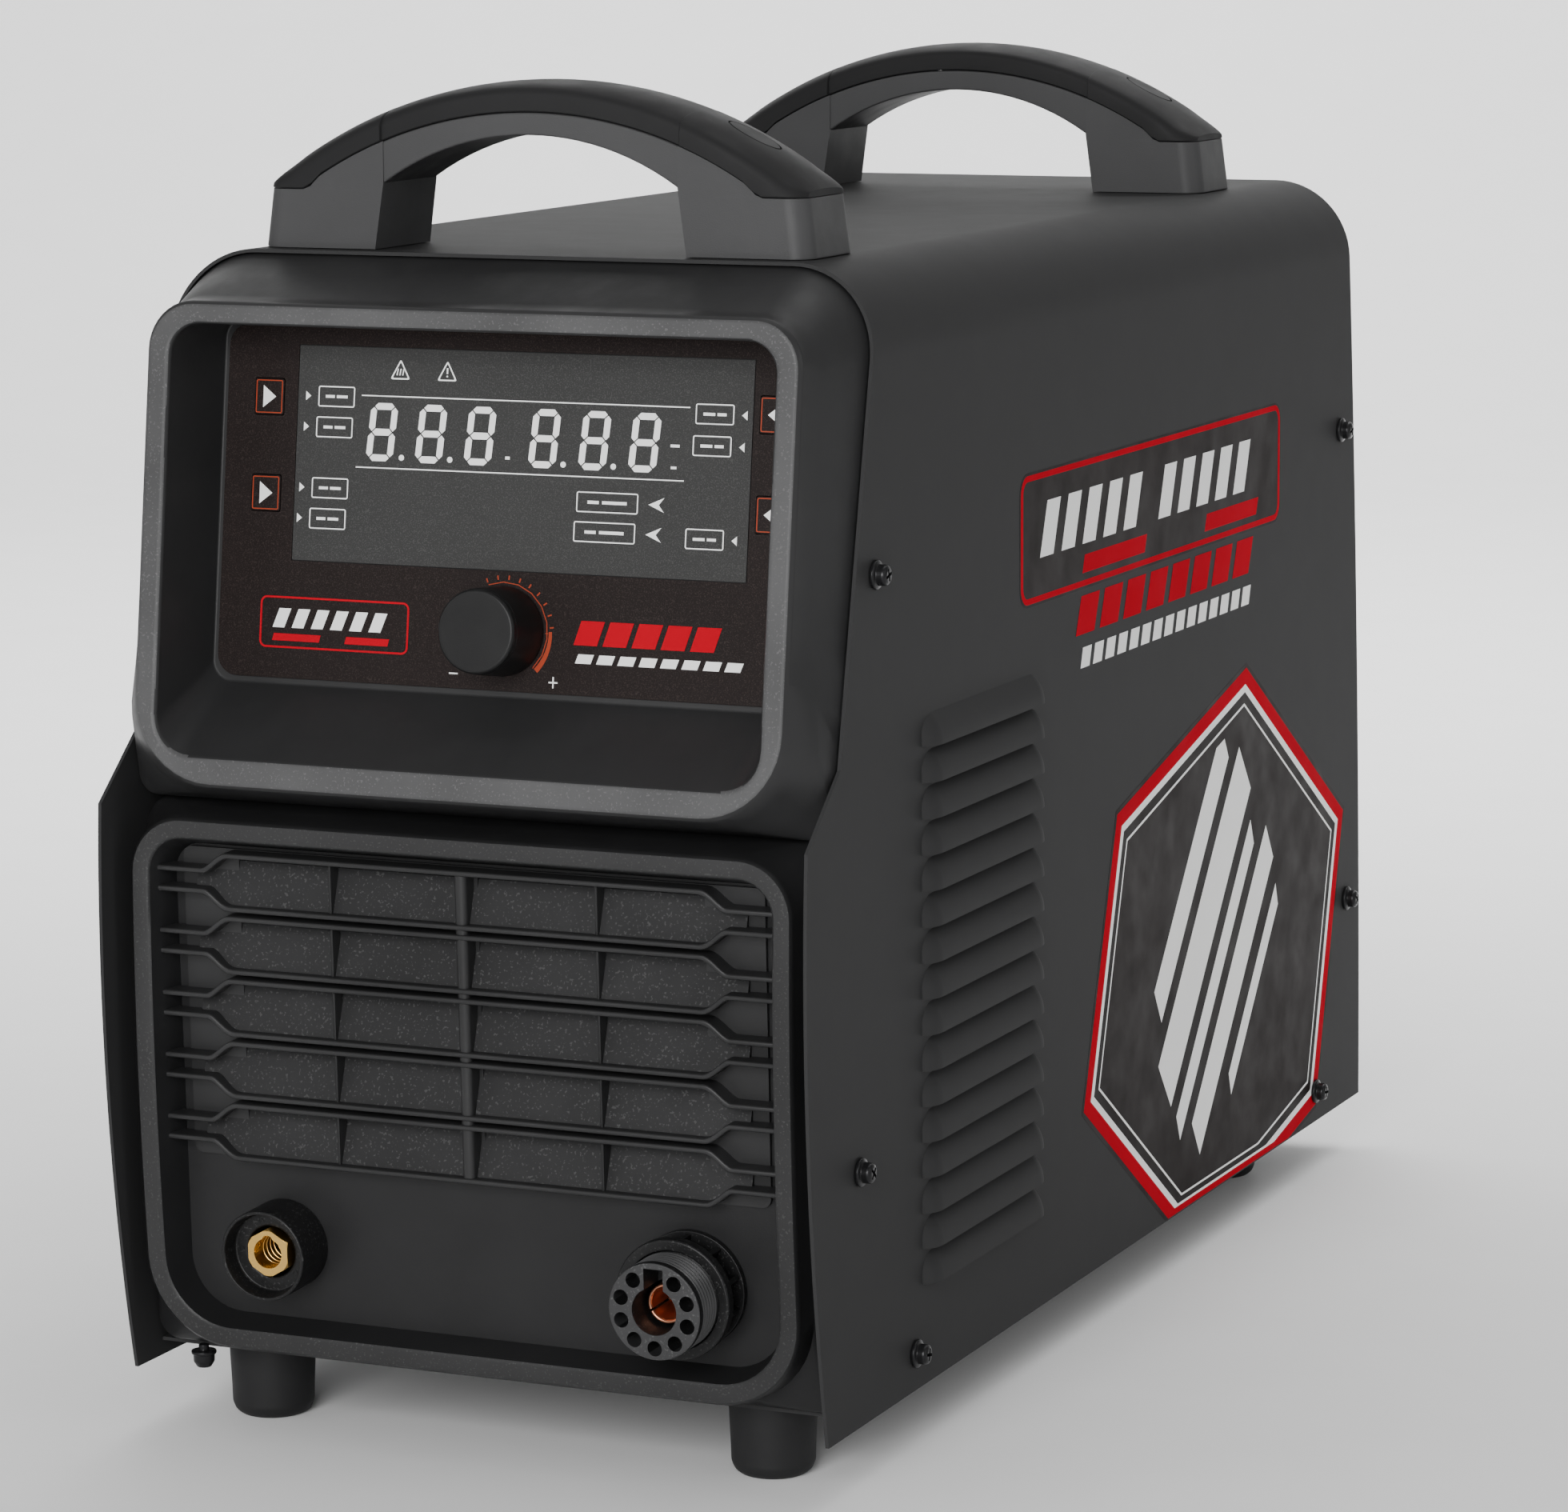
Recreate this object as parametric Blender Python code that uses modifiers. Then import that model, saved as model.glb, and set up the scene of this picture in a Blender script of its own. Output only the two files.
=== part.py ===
"""Plasma cutter unit, built as an assembly of separate parts.

World frame: metres, +Z up, the front faces -Y, +X is to the right as seen from the front,
and the origin is the middle of the footprint at the level of the feet.
The parts are modelled in the machine frame, where y = 0 is the plane just behind the cover's
front belly and z = 0 is the cover's lower edge; one parent empty carries them to the world.
"""
import math

import bmesh
import bpy
from mathutils import Matrix, Vector


def mm(value):
    """Millimetres to metres, for a number or for a nested tuple of numbers."""
    if isinstance(value, (tuple, list)):
        return tuple(mm(item) for item in value)
    return value / 1000.0


# ---------------------------------------------------------------- driving dimensions
GAP = mm(0.3)                       # play between pieces that touch
SCREW_PLAY = mm(0.35)               # radial play of a screw in its hole
MOVING_PLAY = mm(0.8)               # play around a piece that moves

COVER_WIDTH = mm(320)
COVER_HEIGHT = mm(470)
BODY_LENGTH = mm(708)               # the cover's rear lower corner
SHEET = mm(1.5)                     # thickness of every folded sheet
COVER_CORNER_RADIUS = mm(37.5)
FOOT_DROP = mm(25.5)                # how far the feet reach below the cover

SHOULDER_RISE = mm(28)              # height of the slanting step above the waist
SHOULDER_SETBACK = mm(33)           # how far that step goes back
BROW_SETBACK = mm(71.6)             # y of the cover's front edge at its top
BELLY_FRONT = mm(-6.3)              # foremost y of the belly's edge
BELLY_RADIUS = mm(900)
BELLY_DROP = mm(57)                 # foremost point of the belly, below the waist
REAR_LEAN = mm(34)                  # how far the rear edge leans in, bottom to top
REAR_BULGE = mm(6)                  # how far the rear edge bows out of a straight line

LOUVRE_COUNT = 16
LOUVRE_PITCH = mm(15.1)
LOUVRE_LENGTH = mm(134)
LOUVRE_HEIGHT = mm(13)
LOUVRE_DEPTH = mm(5.5)
LOUVRE_TOP_DROP = mm(187)           # top of the first louvre, below the cover's top
LOUVRE_FRONT = mm(113)

RIM_SIDE_INSET = mm(13)             # rim's outer edge from the cover's side
RIM_TOP_DROP = mm(18)               # rim's outer edge from the cover's top
RIM_LIFT = mm(9)                    # rim's lower edge above the waist
RIM_FRONT = mm(-1)                  # y of the rim's lower edge
RIM_SETBACK = mm(25)                # how far the rim's top lies behind its foot
RIM_TOP_RADIUS = mm(20)
RIM_FOOT_RADIUS = mm(36)
RIM_WIDTH = mm(11)
RIM_FOOT_WIDTH = mm(13)
CONSOLE_DEPTH = mm(40)              # rim face to the wall behind the overlay
CONSOLE_FLOOR = mm(30)              # how far the recess's floor climbs to that wall
WALL = mm(3)                        # thickness of the plastic mouldings
BUMPER = mm(5.5)                    # how far the hood's lower corners stand out
BUMPER_HEIGHT = mm(62)
TUCK = mm(30)                       # how far the mouldings reach into the cover

OVERLAY_THICKNESS = mm(0.8)
OVERLAY_MARGIN = mm(2.5)
OVERLAY_RADIUS = mm(9)
WINDOW_SIDE_MARGIN = mm(33)
WINDOW_RIGHT_MARGIN = mm(19)
WINDOW_TOP_MARGIN = mm(8)
WINDOW_FOOT_MARGIN = mm(49)
KEY_WIDTH = mm(13.5)
KEY_HEIGHT = mm(15)
KEY_PROUD = mm(0.6)
KEY_LENGTH = mm(4.4)
KEY_TRAVEL = mm(0.5)
KEY_SIDE_INSET = mm(20)
KEY_FIRST_DROP = mm(30)
KEY_SPACING = mm(40)
KNOB_DIAMETER = mm(37)              # at its foot
KNOB_DRAFT = mm(1)                  # narrower on each side at its face
KNOB_LENGTH = mm(25)
KNOB_LIFT = mm(24.5)                # knob's axis above the overlay's lower edge
KNOB_OFFSET = mm(3)                 # knob's axis to the right of the middle
SHAFT_DIAMETER = mm(6)
SHAFT_LENGTH = mm(9)

PANEL_SIDE_INSET = mm(10)           # lower panel's frame from the cover's side
PANEL_TOP_DROP = mm(5)              # its top edge below the waist
PANEL_LIFT = mm(13)                 # its lower edge above the cover's lower edge
PANEL_FRONT = mm(2.3)
PANEL_RADIUS = mm(1500)             # the frame's face bows with this radius
PANEL_BOW_HEIGHT = mm(180)
PANEL_TOP_RADIUS = mm(24)
PANEL_FOOT_RADIUS = mm(38)
FRAME_WIDTH = mm(9)
FRAME_DRAFT = mm(4)
PLATE_TOP_Y = mm(18.5)
PLATE_LEAN = mm(6.5)                # the plate's foot lies this far behind its top
PANEL_BACK = mm(60)

GRILLE_LIFT = mm(94.7)              # grille's lower edge above the cover's lower edge
GRILLE_ROWS = 5
GRILLE_PITCH = mm(26.6)
SLOT_HEIGHT = mm(20.3)
SLOT_NECK = mm(6.5)
SLOT_SIDE_INSET = mm(14)            # slot's wide part from the recess's side
NECK_LENGTH = mm(9)
RIB = mm(2.2)
GRILLE_DEPTH = mm(11)
GRILLE_TOP_DROP = mm(1.2)
CENTRE_BAR = mm(5.6)
FIN = mm(1.6)
GRILLE_BACK = mm(2)
GRILLE_MARGIN = mm(0.2)             # backing stands out this far round the ribs

EARTH_SIDE_INSET = mm(69)           # earth socket's axis from the cover's side
TORCH_SIDE_INSET = mm(64)           # torch socket's axis from the cover's side
SOCKET_HEIGHT = mm(58)
EARTH_DIAMETER = mm(38.6)
EARTH_PROUD = mm(22)
EARTH_CUP_DIAMETER = mm(33)
EARTH_CUP_DEPTH = mm(8)
EARTH_HEX = mm(18.5)
EARTH_BORE = mm(13)
SOCKET_SHANK = mm(24)
TORCH_DIAMETER = mm(40.5)
TORCH_PROUD = mm(38)
TORCH_THREAD_LENGTH = mm(17)
TORCH_COLLAR_DIAMETER = mm(50.5)
TORCH_COLLAR_LENGTH = mm(5)
TORCH_BASE_DIAMETER = mm(46)
TORCH_BORE = mm(19.5)
TORCH_PIN_COUNT = 9
TORCH_PIN_HOLE = mm(6.4)
TORCH_PIN_CIRCLE = mm(30.5)
TORCH_KEYWAY = mm(8.5)
CONTACT_DIAMETER = mm(12)
CONTACT_BORE = mm(8.5)

HANDLE_HALF_LENGTH = mm(122)
HANDLE_DEPTH = mm(49.7)
HANDLE_HEIGHT = mm(70)
HANDLE_FRONT = mm(80.5)
HANDLE_SPACING = mm(470)
PILLAR_WIDTH = mm(46)
HANDLE_OPENING = mm(48)             # finger room under the arch
SPLIT_HEIGHT = mm(24.5)             # cap's split line at the ends, above the base
SPLIT_RISE = mm(33)                 # how far the split line rises to the middle
CAP_EDGE_DROP = mm(5.3)             # crown of the cap over its front edge
ARCH_RISE = mm(20.5)                # rise of the arch's underside to the middle
HANDLE_RAMP = mm(24)                # cap's blunt end, along the handle
PLUG_WIDTH = mm(15)
PLUG_STRETCH = 1.7                  # plug's length over its width
PLUG_INSET = mm(31)                 # plug's middle from the handle's end
PLUG_DEPTH = mm(4)

FOOT_X_INSET = mm(43)               # foot axes from the cover's side
FOOT_FRONT_Y = mm(56)
FOOT_REAR_SETBACK = mm(93)
FOOT_TOP_DIAMETER = mm(37)
FOOT_SOLE_DIAMETER = mm(32.5)
TRAY_LIFT = mm(6.5)
TRAY_FLANGE = mm(30)
TRAY_FRONT = mm(34)
TRAY_OVERLAP = mm(20)               # how far the tray runs under the rear flange

SCREW_TOP_Z = mm(347)
SCREW_MID_Z = mm(106.5)
SCREW_FRONT_INSET = mm(19)          # from the brow's edge to the upper front screw
SCREW_MID_Y = mm(46)
SCREW_REAR_INSET = mm(22.5)         # from the rear edge to the upper and middle rear screws
SCREW_LOW_LIFT = mm(8)              # lowest screws above the tray's floor
SCREW_LOW_Y = mm(105)
SCREW_LOW_REAR = mm(73)             # lowest rear screw from the cover's rear corner
SCREW_FLANGE = mm(12)
SCREW_FLANGE_THICKNESS = mm(1.6)
SCREW_HEAD = mm(8.6)
SCREW_HEAD_LENGTH = mm(4.6)
SCREW_SHANK = mm(4)
SCREW_LENGTH = mm(7)

REAR_PLATE_SETBACK = mm(46)         # rear plate's outer face from the cover's rear corner
REAR_RIM_SETBACK = mm(6)            # rear flange's edge from the cover's rear edge
REAR_RIM_LENGTH = mm(45)            # how far that flange runs back from the plate
FAN_SIZE = mm(150)
FAN_DEPTH = mm(38)
FAN_BORE = mm(140)
FAN_CENTRE = mm(285)
FAN_HUB = mm(58)
FAN_BLADES = 7
BREAKER_WIDTH = mm(54)
BREAKER_HEIGHT = mm(86)
BREAKER_X = mm(-92)
BREAKER_Z = mm(412)
BREAKER_DEPTH = mm(44)
BREAKER_NOSE = mm(45)
BREAKER_NOSE_PROUD = mm(6)
LEVER_RADIUS = mm(8)
LEVER_LENGTH = mm(17)
LEVER_THICKNESS = mm(6)
LEVER_SWING = math.radians(35)      # lever's lean from level, down when off and up when on
GUARD_WIRE = mm(2.5)
GUARD_RINGS = 4
GUARD_STEP = mm(17)
INLET_X = mm(95)
INLET_Z = mm(75)
STUD_Z = mm(60)
PARTITION_HEIGHT = mm(320)
PARTITION_FRONT = mm(130)
PARTITION_FLANGE = mm(22)
HEATSINK_LOW = mm(70)
HEATSINK_HIGH = mm(220)
HEATSINK_FRONT = mm(190)
HEATSINK_REAR = mm(420)
HEATSINK_REACH = mm(55)
HEATSINK_FINS = 9
CORE_WIDTH = mm(90)
CORE_FRONT = mm(400)
CORE_REAR = mm(460)
CORE_LEG = mm(12)                   # half width of the transformer's middle leg
CORE_SIDE_INSET = mm(72)            # middle of the transformer from the cover's side
WINDING_REACH = mm(30)
CHOKE_DIAMETER = mm(94)
CHOKE_Y = mm(510)
CAPACITOR_DIAMETER = mm(51)
CAPACITOR_HEIGHT = mm(105)
CAPACITOR_SIDE_INSET = mm(90)
CAPACITOR_Y = mm(280)
BOARD_X = mm(-12)
BOARD_FRONT = mm(170)
BOARD_REAR = mm(350)
BOARD_LOW = mm(190)
BOARD_HIGH = mm(320)
BOARD_THICKNESS = mm(1.6)
VALVE_SIZE = mm(32)
VALVE_SIDE_INSET = mm(64)
VALVE_Y = mm(591)
GLAND_SHANK = mm(25)
INLET_SHANK = mm(16)
STUD_DIAMETER = mm(8)

ROUND_STEPS = 24                    # sides of a round piece

GRILLE_HEIGHT = (GRILLE_ROWS - 1) * GRILLE_PITCH + SLOT_HEIGHT + 2 * RIB
WAIST_HEIGHT = (GRILLE_LIFT + GRILLE_HEIGHT + GRILLE_TOP_DROP + FRAME_DRAFT + FRAME_WIDTH
                + PANEL_TOP_DROP)   # where the belly's front edge turns back
HALF = COVER_WIDTH / 2
INSIDE = HALF - SHEET - GAP         # half width of what slides into the cover
INSIDE_TOP = COVER_HEIGHT - SHEET - GAP
INSIDE_RADIUS = COVER_CORNER_RADIUS - SHEET - GAP
TRAY_TOP = TRAY_LIFT + SHEET
REAR_PLATE = BODY_LENGTH - REAR_PLATE_SETBACK

# ---------------------------------------------------------------- materials
MATERIALS = {
    # name: (colour, metallic, roughness)
    "powder_coat": ((0.055, 0.055, 0.057), 0.0, 0.55),
    "black_abs": ((0.022, 0.022, 0.024), 0.0, 0.5),
    "handle_grey": ((0.05, 0.05, 0.053), 0.0, 0.6),
    "rubber": ((0.016, 0.016, 0.017), 0.0, 0.75),
    "overlay_film": ((0.022, 0.016, 0.015), 0.0, 0.6),
    "window_film": ((0.06, 0.06, 0.06), 0.0, 0.45),
    "brass": ((0.75, 0.55, 0.22), 1.0, 0.3),
    "copper": ((0.8, 0.36, 0.22), 1.0, 0.3),
    "black_steel": ((0.015, 0.015, 0.016), 0.6, 0.35),
    "zinc_steel": ((0.6, 0.6, 0.6), 1.0, 0.35),
    "aluminium": ((0.7, 0.7, 0.71), 1.0, 0.4),
    "circuit_board": ((0.02, 0.12, 0.04), 0.0, 0.5),
    "ferrite": ((0.05, 0.05, 0.05), 0.1, 0.6),
    "winding": ((0.5, 0.2, 0.07), 0.5, 0.45),
    "grey_plastic": ((0.5, 0.5, 0.48), 0.0, 0.5),
}


def start_scene():
    """Empties the scene and returns the collections for the parts and for the cutters."""
    for obj in list(bpy.data.objects):
        bpy.data.objects.remove(obj, do_unlink=True)
    made = []
    for name in ("plasma_cutter_unit", "cutters"):
        collection = bpy.data.collections.new(name)
        bpy.context.scene.collection.children.link(collection)
        made.append(collection)
    return made


PARTS, CUTTERS = start_scene()
ORIGIN = bpy.data.objects.new("machine_frame", None)
PARTS.objects.link(ORIGIN)


def material(name):
    """The named material, made at its first use."""
    if name in bpy.data.materials:
        return bpy.data.materials[name]
    colour, metallic, roughness = MATERIALS[name]
    made = bpy.data.materials.new(name)
    made.use_nodes = True
    shader = made.node_tree.nodes["Principled BSDF"]
    shader.inputs["Base Color"].default_value = (*colour, 1)
    shader.inputs["Metallic"].default_value = metallic
    shader.inputs["Roughness"].default_value = roughness
    return made


# ---------------------------------------------------------------- drawing planes
def plane(origin, across, up):
    """Matrix of a drawing plane: local x and y lie in it, local z points out of it."""
    across = Vector(across).normalized()
    up = Vector(up).normalized()
    out = across.cross(up)
    matrix = Matrix((across, up, out)).transposed().to_4x4()
    matrix.translation = Vector(origin)
    return matrix


FLOOR = Matrix.Identity(4)                                  # x, y drawn; z up
FRONT = plane((0, 0, 0), (1, 0, 0), (0, 0, 1))              # x, z drawn; out is -y
REAR = plane((0, REAR_PLATE, 0), (-1, 0, 0), (0, 0, 1))     # -x, z drawn; out is +y
SIDE = plane((0, 0, 0), (0, 1, 0), (0, 0, 1))               # y, z drawn; out is +x

RIM_FOOT_Z = WAIST_HEIGHT + RIM_LIFT
RIM_RISE = COVER_HEIGHT - RIM_TOP_DROP - RIM_FOOT_Z
RIM_HEIGHT = math.hypot(RIM_RISE, RIM_SETBACK)
CONSOLE = plane((0, RIM_FRONT, RIM_FOOT_Z), (1, 0, 0), (0, RIM_SETBACK, RIM_RISE))

PANEL_TOP = WAIST_HEIGHT - PANEL_TOP_DROP
PLATE_FOOT = PANEL_LIFT + FRAME_WIDTH + FRAME_DRAFT
PLATE_HEAD = PANEL_TOP - FRAME_WIDTH - FRAME_DRAFT
PLATE = plane((0, PLATE_TOP_Y + PLATE_LEAN, PLATE_FOOT), (1, 0, 0),
              (0, -PLATE_LEAN, PLATE_HEAD - PLATE_FOOT))


def on_plane(frame, x, y, out=0.0):
    """A point drawn at x, y on the plane, at a distance in front of it."""
    return frame @ Vector((x, y, out))


def place_machine():
    """Puts the machine frame so that the world's origin is under the middle of the whole box."""
    nose_tip = on_plane(PLATE, 0, SOCKET_HEIGHT - PLATE_FOOT + TORCH_DIAMETER / 2, TORCH_PROUD)
    ORIGIN.location = (0, -(nose_tip.y + BODY_LENGTH) / 2, FOOT_DROP)


# ---------------------------------------------------------------- outlines
def arc(centre, radius, start, end, steps):
    """Points of an arc, angles in degrees."""
    points = []
    for i in range(steps + 1):
        angle = math.radians(start + (end - start) * i / steps)
        points.append((centre[0] + radius * math.cos(angle),
                       centre[1] + radius * math.sin(angle)))
    return points


def rounded_rect(left, right, low, high, foot_radius, top_radius, steps=5, side_steps=1):
    """A rectangle with rounded corners, from the lower right corner, anticlockwise.

    side_steps splits each upright side, so that a loft can bend there.
    """
    right_side = [(right, low + foot_radius + (high - top_radius - low - foot_radius) * i / side_steps)
                  for i in range(1, side_steps)]
    left_side = [(left, y) for _, y in reversed(right_side)]
    return (arc((right - foot_radius, low + foot_radius), foot_radius, -90, 0, steps) + right_side
            + arc((right - top_radius, high - top_radius), top_radius, 0, 90, steps)
            + arc((left + top_radius, high - top_radius), top_radius, 90, 180, steps) + left_side
            + arc((left + foot_radius, low + foot_radius), foot_radius, 180, 270, steps))


def circle(centre, diameter, steps=ROUND_STEPS):
    return arc(centre, diameter / 2, 0, 360 - 360 / steps, steps - 1)


def belly_y(z):
    """y of the cover's bowed front edge at a height below the waist."""
    lift = z - (WAIST_HEIGHT - BELLY_DROP)
    return BELLY_FRONT + BELLY_RADIUS - math.sqrt(BELLY_RADIUS ** 2 - lift ** 2)


def brow_y(z):
    """y of the cover's slanting front edge at a height above the shoulder."""
    shoulder_y = belly_y(WAIST_HEIGHT) + SHOULDER_SETBACK
    shoulder_z = WAIST_HEIGHT + SHOULDER_RISE
    return shoulder_y + (BROW_SETBACK - shoulder_y) * (z - shoulder_z) / (COVER_HEIGHT - shoulder_z)


def rear_y(z):
    """y of the cover's rear edge at a height."""
    share = z / COVER_HEIGHT
    return BODY_LENGTH - REAR_LEAN * share + 4 * REAR_BULGE * share * (1 - share)


def side_outline(inset=0.0):
    """The cover's outline seen from the side (y, z), moved in from its front and rear edges."""
    belly = [(belly_y(WAIST_HEIGHT * i / 8) + inset, WAIST_HEIGHT * i / 8) for i in range(9)]
    shoulder_z = WAIST_HEIGHT + SHOULDER_RISE
    front = belly + [(brow_y(z) + inset, z) for z in (shoulder_z, COVER_HEIGHT + mm(5))]
    rear = [(rear_y(COVER_HEIGHT * i / 6) - inset, COVER_HEIGHT * i / 6) for i in range(7)]
    rear[-1] = (rear[-1][0], COVER_HEIGHT + mm(5))
    return front + list(reversed(rear))


def arch_outline(half, top, radius, foot, steps=6):
    """An inverted-U area (x, z) with rounded shoulders."""
    return ([(-half, foot), (half, foot)]
            + arc((half - radius, top - radius), radius, 0, 90, steps)
            + arc((-half + radius, top - radius), radius, 90, 180, steps))


# ---------------------------------------------------------------- solids
def add(name, mesh, colour, collection=None, origin=None, smooth=0):
    """Puts a mesh, given in the machine frame, into the scene as one part."""
    made = bpy.data.objects.new(name, mesh)
    made.parent = ORIGIN
    if origin is not None:
        mesh.transform(Matrix.Translation(-Vector(origin)))
        made.location = origin
    if colour:
        mesh.materials.clear()
        mesh.materials.append(material(colour))
    if smooth:
        mesh.shade_smooth()
        mesh.set_sharp_from_angle(angle=math.radians(smooth))
    (collection or PARTS).objects.link(made)
    return made


def evaluated_mesh(source, matrix):
    """The mesh of an object with its modifiers, welded and moved; the object is removed."""
    bpy.context.scene.collection.objects.link(source)
    graph = bpy.context.evaluated_depsgraph_get()
    mesh = bpy.data.meshes.new_from_object(source.evaluated_get(graph))
    bpy.data.objects.remove(source, do_unlink=True)
    work = bmesh.new()
    work.from_mesh(mesh)
    bmesh.ops.remove_doubles(work, verts=work.verts, dist=0.00001)
    bmesh.ops.recalc_face_normals(work, faces=work.faces)
    work.to_mesh(mesh)
    work.free()
    mesh.transform(matrix)
    return mesh


def slab(outlines, low, high, frame=FLOOR):
    """Mesh of a flat outline, with its holes, extruded from low to high out of a plane."""
    curve = bpy.data.curves.new("outline", "CURVE")
    curve.dimensions = "2D"
    curve.fill_mode = "BOTH"
    curve.extrude = (high - low) / 2
    for outline in outlines:
        spline = curve.splines.new("POLY")
        spline.points.add(len(outline) - 1)
        for point, (x, y) in zip(spline.points, outline):
            point.co = (x, y, 0, 1)
        spline.use_cyclic_u = True
    source = bpy.data.objects.new("outline", curve)
    return evaluated_mesh(source, frame @ Matrix.Translation((0, 0, (low + high) / 2)))


def block(low, high):
    """Mesh of a box between two corners."""
    low, high = Vector(low), Vector(high)
    work = bmesh.new()
    size = high - low
    matrix = Matrix.Translation((low + high) / 2) @ Matrix.Diagonal((*size, 1))
    bmesh.ops.create_cube(work, size=1, matrix=matrix)
    mesh = bpy.data.meshes.new("block")
    work.to_mesh(mesh)
    work.free()
    return mesh


def turned(profile, frame=FLOOR, steps=ROUND_STEPS, ring=False):
    """Mesh of a profile (radius, height) turned about the plane's normal.

    The profile runs down the outer side; a ring's profile is closed on itself.
    """
    mesh = bpy.data.meshes.new("profile")
    count = len(profile)
    edges = [(i, i + 1) for i in range(count - 1)] + ([(count - 1, 0)] if ring else [])
    mesh.from_pydata([(r, 0, z) for r, z in profile], edges, [])
    source = bpy.data.objects.new("profile", mesh)
    screw = source.modifiers.new("turn", "SCREW")
    screw.steps = steps
    screw.render_steps = steps
    screw.use_merge_vertices = True
    screw.merge_threshold = 0.00005
    return evaluated_mesh(source, frame)


def loft(loops):
    """Mesh through closed loops with equally many points, capped at both ends."""
    work = bmesh.new()
    rows = [[work.verts.new(point) for point in loop] for loop in loops]
    for row, following in zip(rows, rows[1:]):
        for i, vert in enumerate(row):
            j = (i + 1) % len(row)
            work.faces.new((vert, row[j], following[j], following[i]))
    work.faces.new(rows[0])
    work.faces.new(rows[-1])
    bmesh.ops.recalc_face_normals(work, faces=work.faces)
    mesh = bpy.data.meshes.new("loft")
    work.to_mesh(mesh)
    work.free()
    return mesh


def merged(meshes):
    """One mesh that holds several separate closed bodies."""
    work = bmesh.new()
    for mesh in meshes:
        work.from_mesh(mesh)
    made = bpy.data.meshes.new("merged")
    work.to_mesh(made)
    work.free()
    return made


def boolean(target, mesh, operation, name):
    """Adds a Boolean with a hidden tool made from the mesh."""
    tool = add(f"{target.name}_{name}", mesh, None, CUTTERS)
    tool.hide_render = True
    tool.display_type = "WIRE"
    modifier = target.modifiers.new(name, "BOOLEAN")
    modifier.operation = operation
    modifier.solver = "EXACT"
    modifier.object = tool
    return target


def cut(target, mesh, name):
    return boolean(target, mesh, "DIFFERENCE", name)


def fuse(target, mesh, name):
    return boolean(target, mesh, "UNION", name)


def keep_inside(target, mesh, name):
    return boolean(target, mesh, "INTERSECT", name)


def rod(frame, x, y, diameter, low, high, steps=12):
    """Mesh of a cylinder standing on a plane at x, y."""
    return slab([circle((x, y), diameter, steps)], low, high, frame)


# ---------------------------------------------------------------- side screws
def screw_places():
    """(name, y, z) of the six screws of one side."""
    low = TRAY_TOP + SCREW_LOW_LIFT
    return (("front_top", brow_y(SCREW_TOP_Z) + SCREW_FRONT_INSET, SCREW_TOP_Z),
            ("front_mid", SCREW_MID_Y, SCREW_MID_Z),
            ("front_low", SCREW_LOW_Y, low),
            ("rear_top", rear_y(SCREW_TOP_Z) - SCREW_REAR_INSET, SCREW_TOP_Z),
            ("rear_mid", rear_y(SCREW_MID_Z) - SCREW_REAR_INSET, SCREW_MID_Z),
            ("rear_low", BODY_LENGTH - SCREW_LOW_REAR, low))


def screw_holes(names, inner, outer):
    """Cutter for the screw holes of both sides, between two distances from the middle."""
    holes = []
    for name, y, z in screw_places():
        if name in names:
            diameter = SCREW_SHANK + 2 * SCREW_PLAY
            holes.append(rod(SIDE, y, z, diameter, inner, outer, 10))
            holes.append(rod(SIDE, y, z, diameter, -outer, -inner, 10))
    return merged(holes)


def make_side_screws():
    flange = SCREW_FLANGE / 2
    head = SCREW_HEAD / 2
    top = SCREW_FLANGE_THICKNESS + SCREW_HEAD_LENGTH
    profile = [(0, top), (head, top), (head, SCREW_FLANGE_THICKNESS),
               (flange, SCREW_FLANGE_THICKNESS), (flange, 0), (SCREW_SHANK / 2, 0),
               (SCREW_SHANK / 2, -SCREW_LENGTH), (0, -SCREW_LENGTH)]
    for side, sign in (("right", 1), ("left", -1)):
        for name, y, z in screw_places():
            seat = plane((sign * (HALF + GAP), y, z), (0, sign, 0), (0, 0, 1))
            add(f"screw_{side}_{name}", turned(profile, seat, 8), "black_steel", smooth=35)


# ---------------------------------------------------------------- cover, tray, rear panel
def louvre(sign, top):
    """Hood and cavity of one pressed louvre on the side given by sign."""
    middle = LOUVRE_FRONT + LOUVRE_LENGTH / 2
    end = LOUVRE_HEIGHT * 0.55
    stations = ((-LOUVRE_LENGTH / 2, 0.4), (-LOUVRE_LENGTH / 2 + end, 1.0),
                (LOUVRE_LENGTH / 2 - end, 1.0), (LOUVRE_LENGTH / 2, 0.4))
    foot = top - LOUVRE_HEIGHT
    root = HALF - SHEET * 0.6
    loops = []
    for offset, share in stations:
        depth = HALF - root + LOUVRE_DEPTH * share
        height = LOUVRE_HEIGHT * (0.5 + 0.5 * share)
        loops.append([(sign * root, middle + offset, foot),
                      (sign * (root + depth), middle + offset, foot),
                      (sign * (root + depth * 0.8), middle + offset, foot + height * 0.6),
                      (sign * root, middle + offset, foot + height)])
    skin = SHEET * 0.8
    inner = HALF - SHEET * 1.5
    tip = HALF + LOUVRE_DEPTH - skin
    reach = LOUVRE_LENGTH / 2 - end
    mouth = foot - mm(0.4)
    cavity = [[(sign * inner, middle + y, mouth), (sign * tip, middle + y, mouth),
               (sign * (HALF + LOUVRE_DEPTH * 0.5), middle + y, foot + LOUVRE_HEIGHT * 0.45),
               (sign * inner, middle + y, foot + LOUVRE_HEIGHT * 0.75)] for y in (-reach, reach)]
    return loft(loops), loft(cavity)


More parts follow.
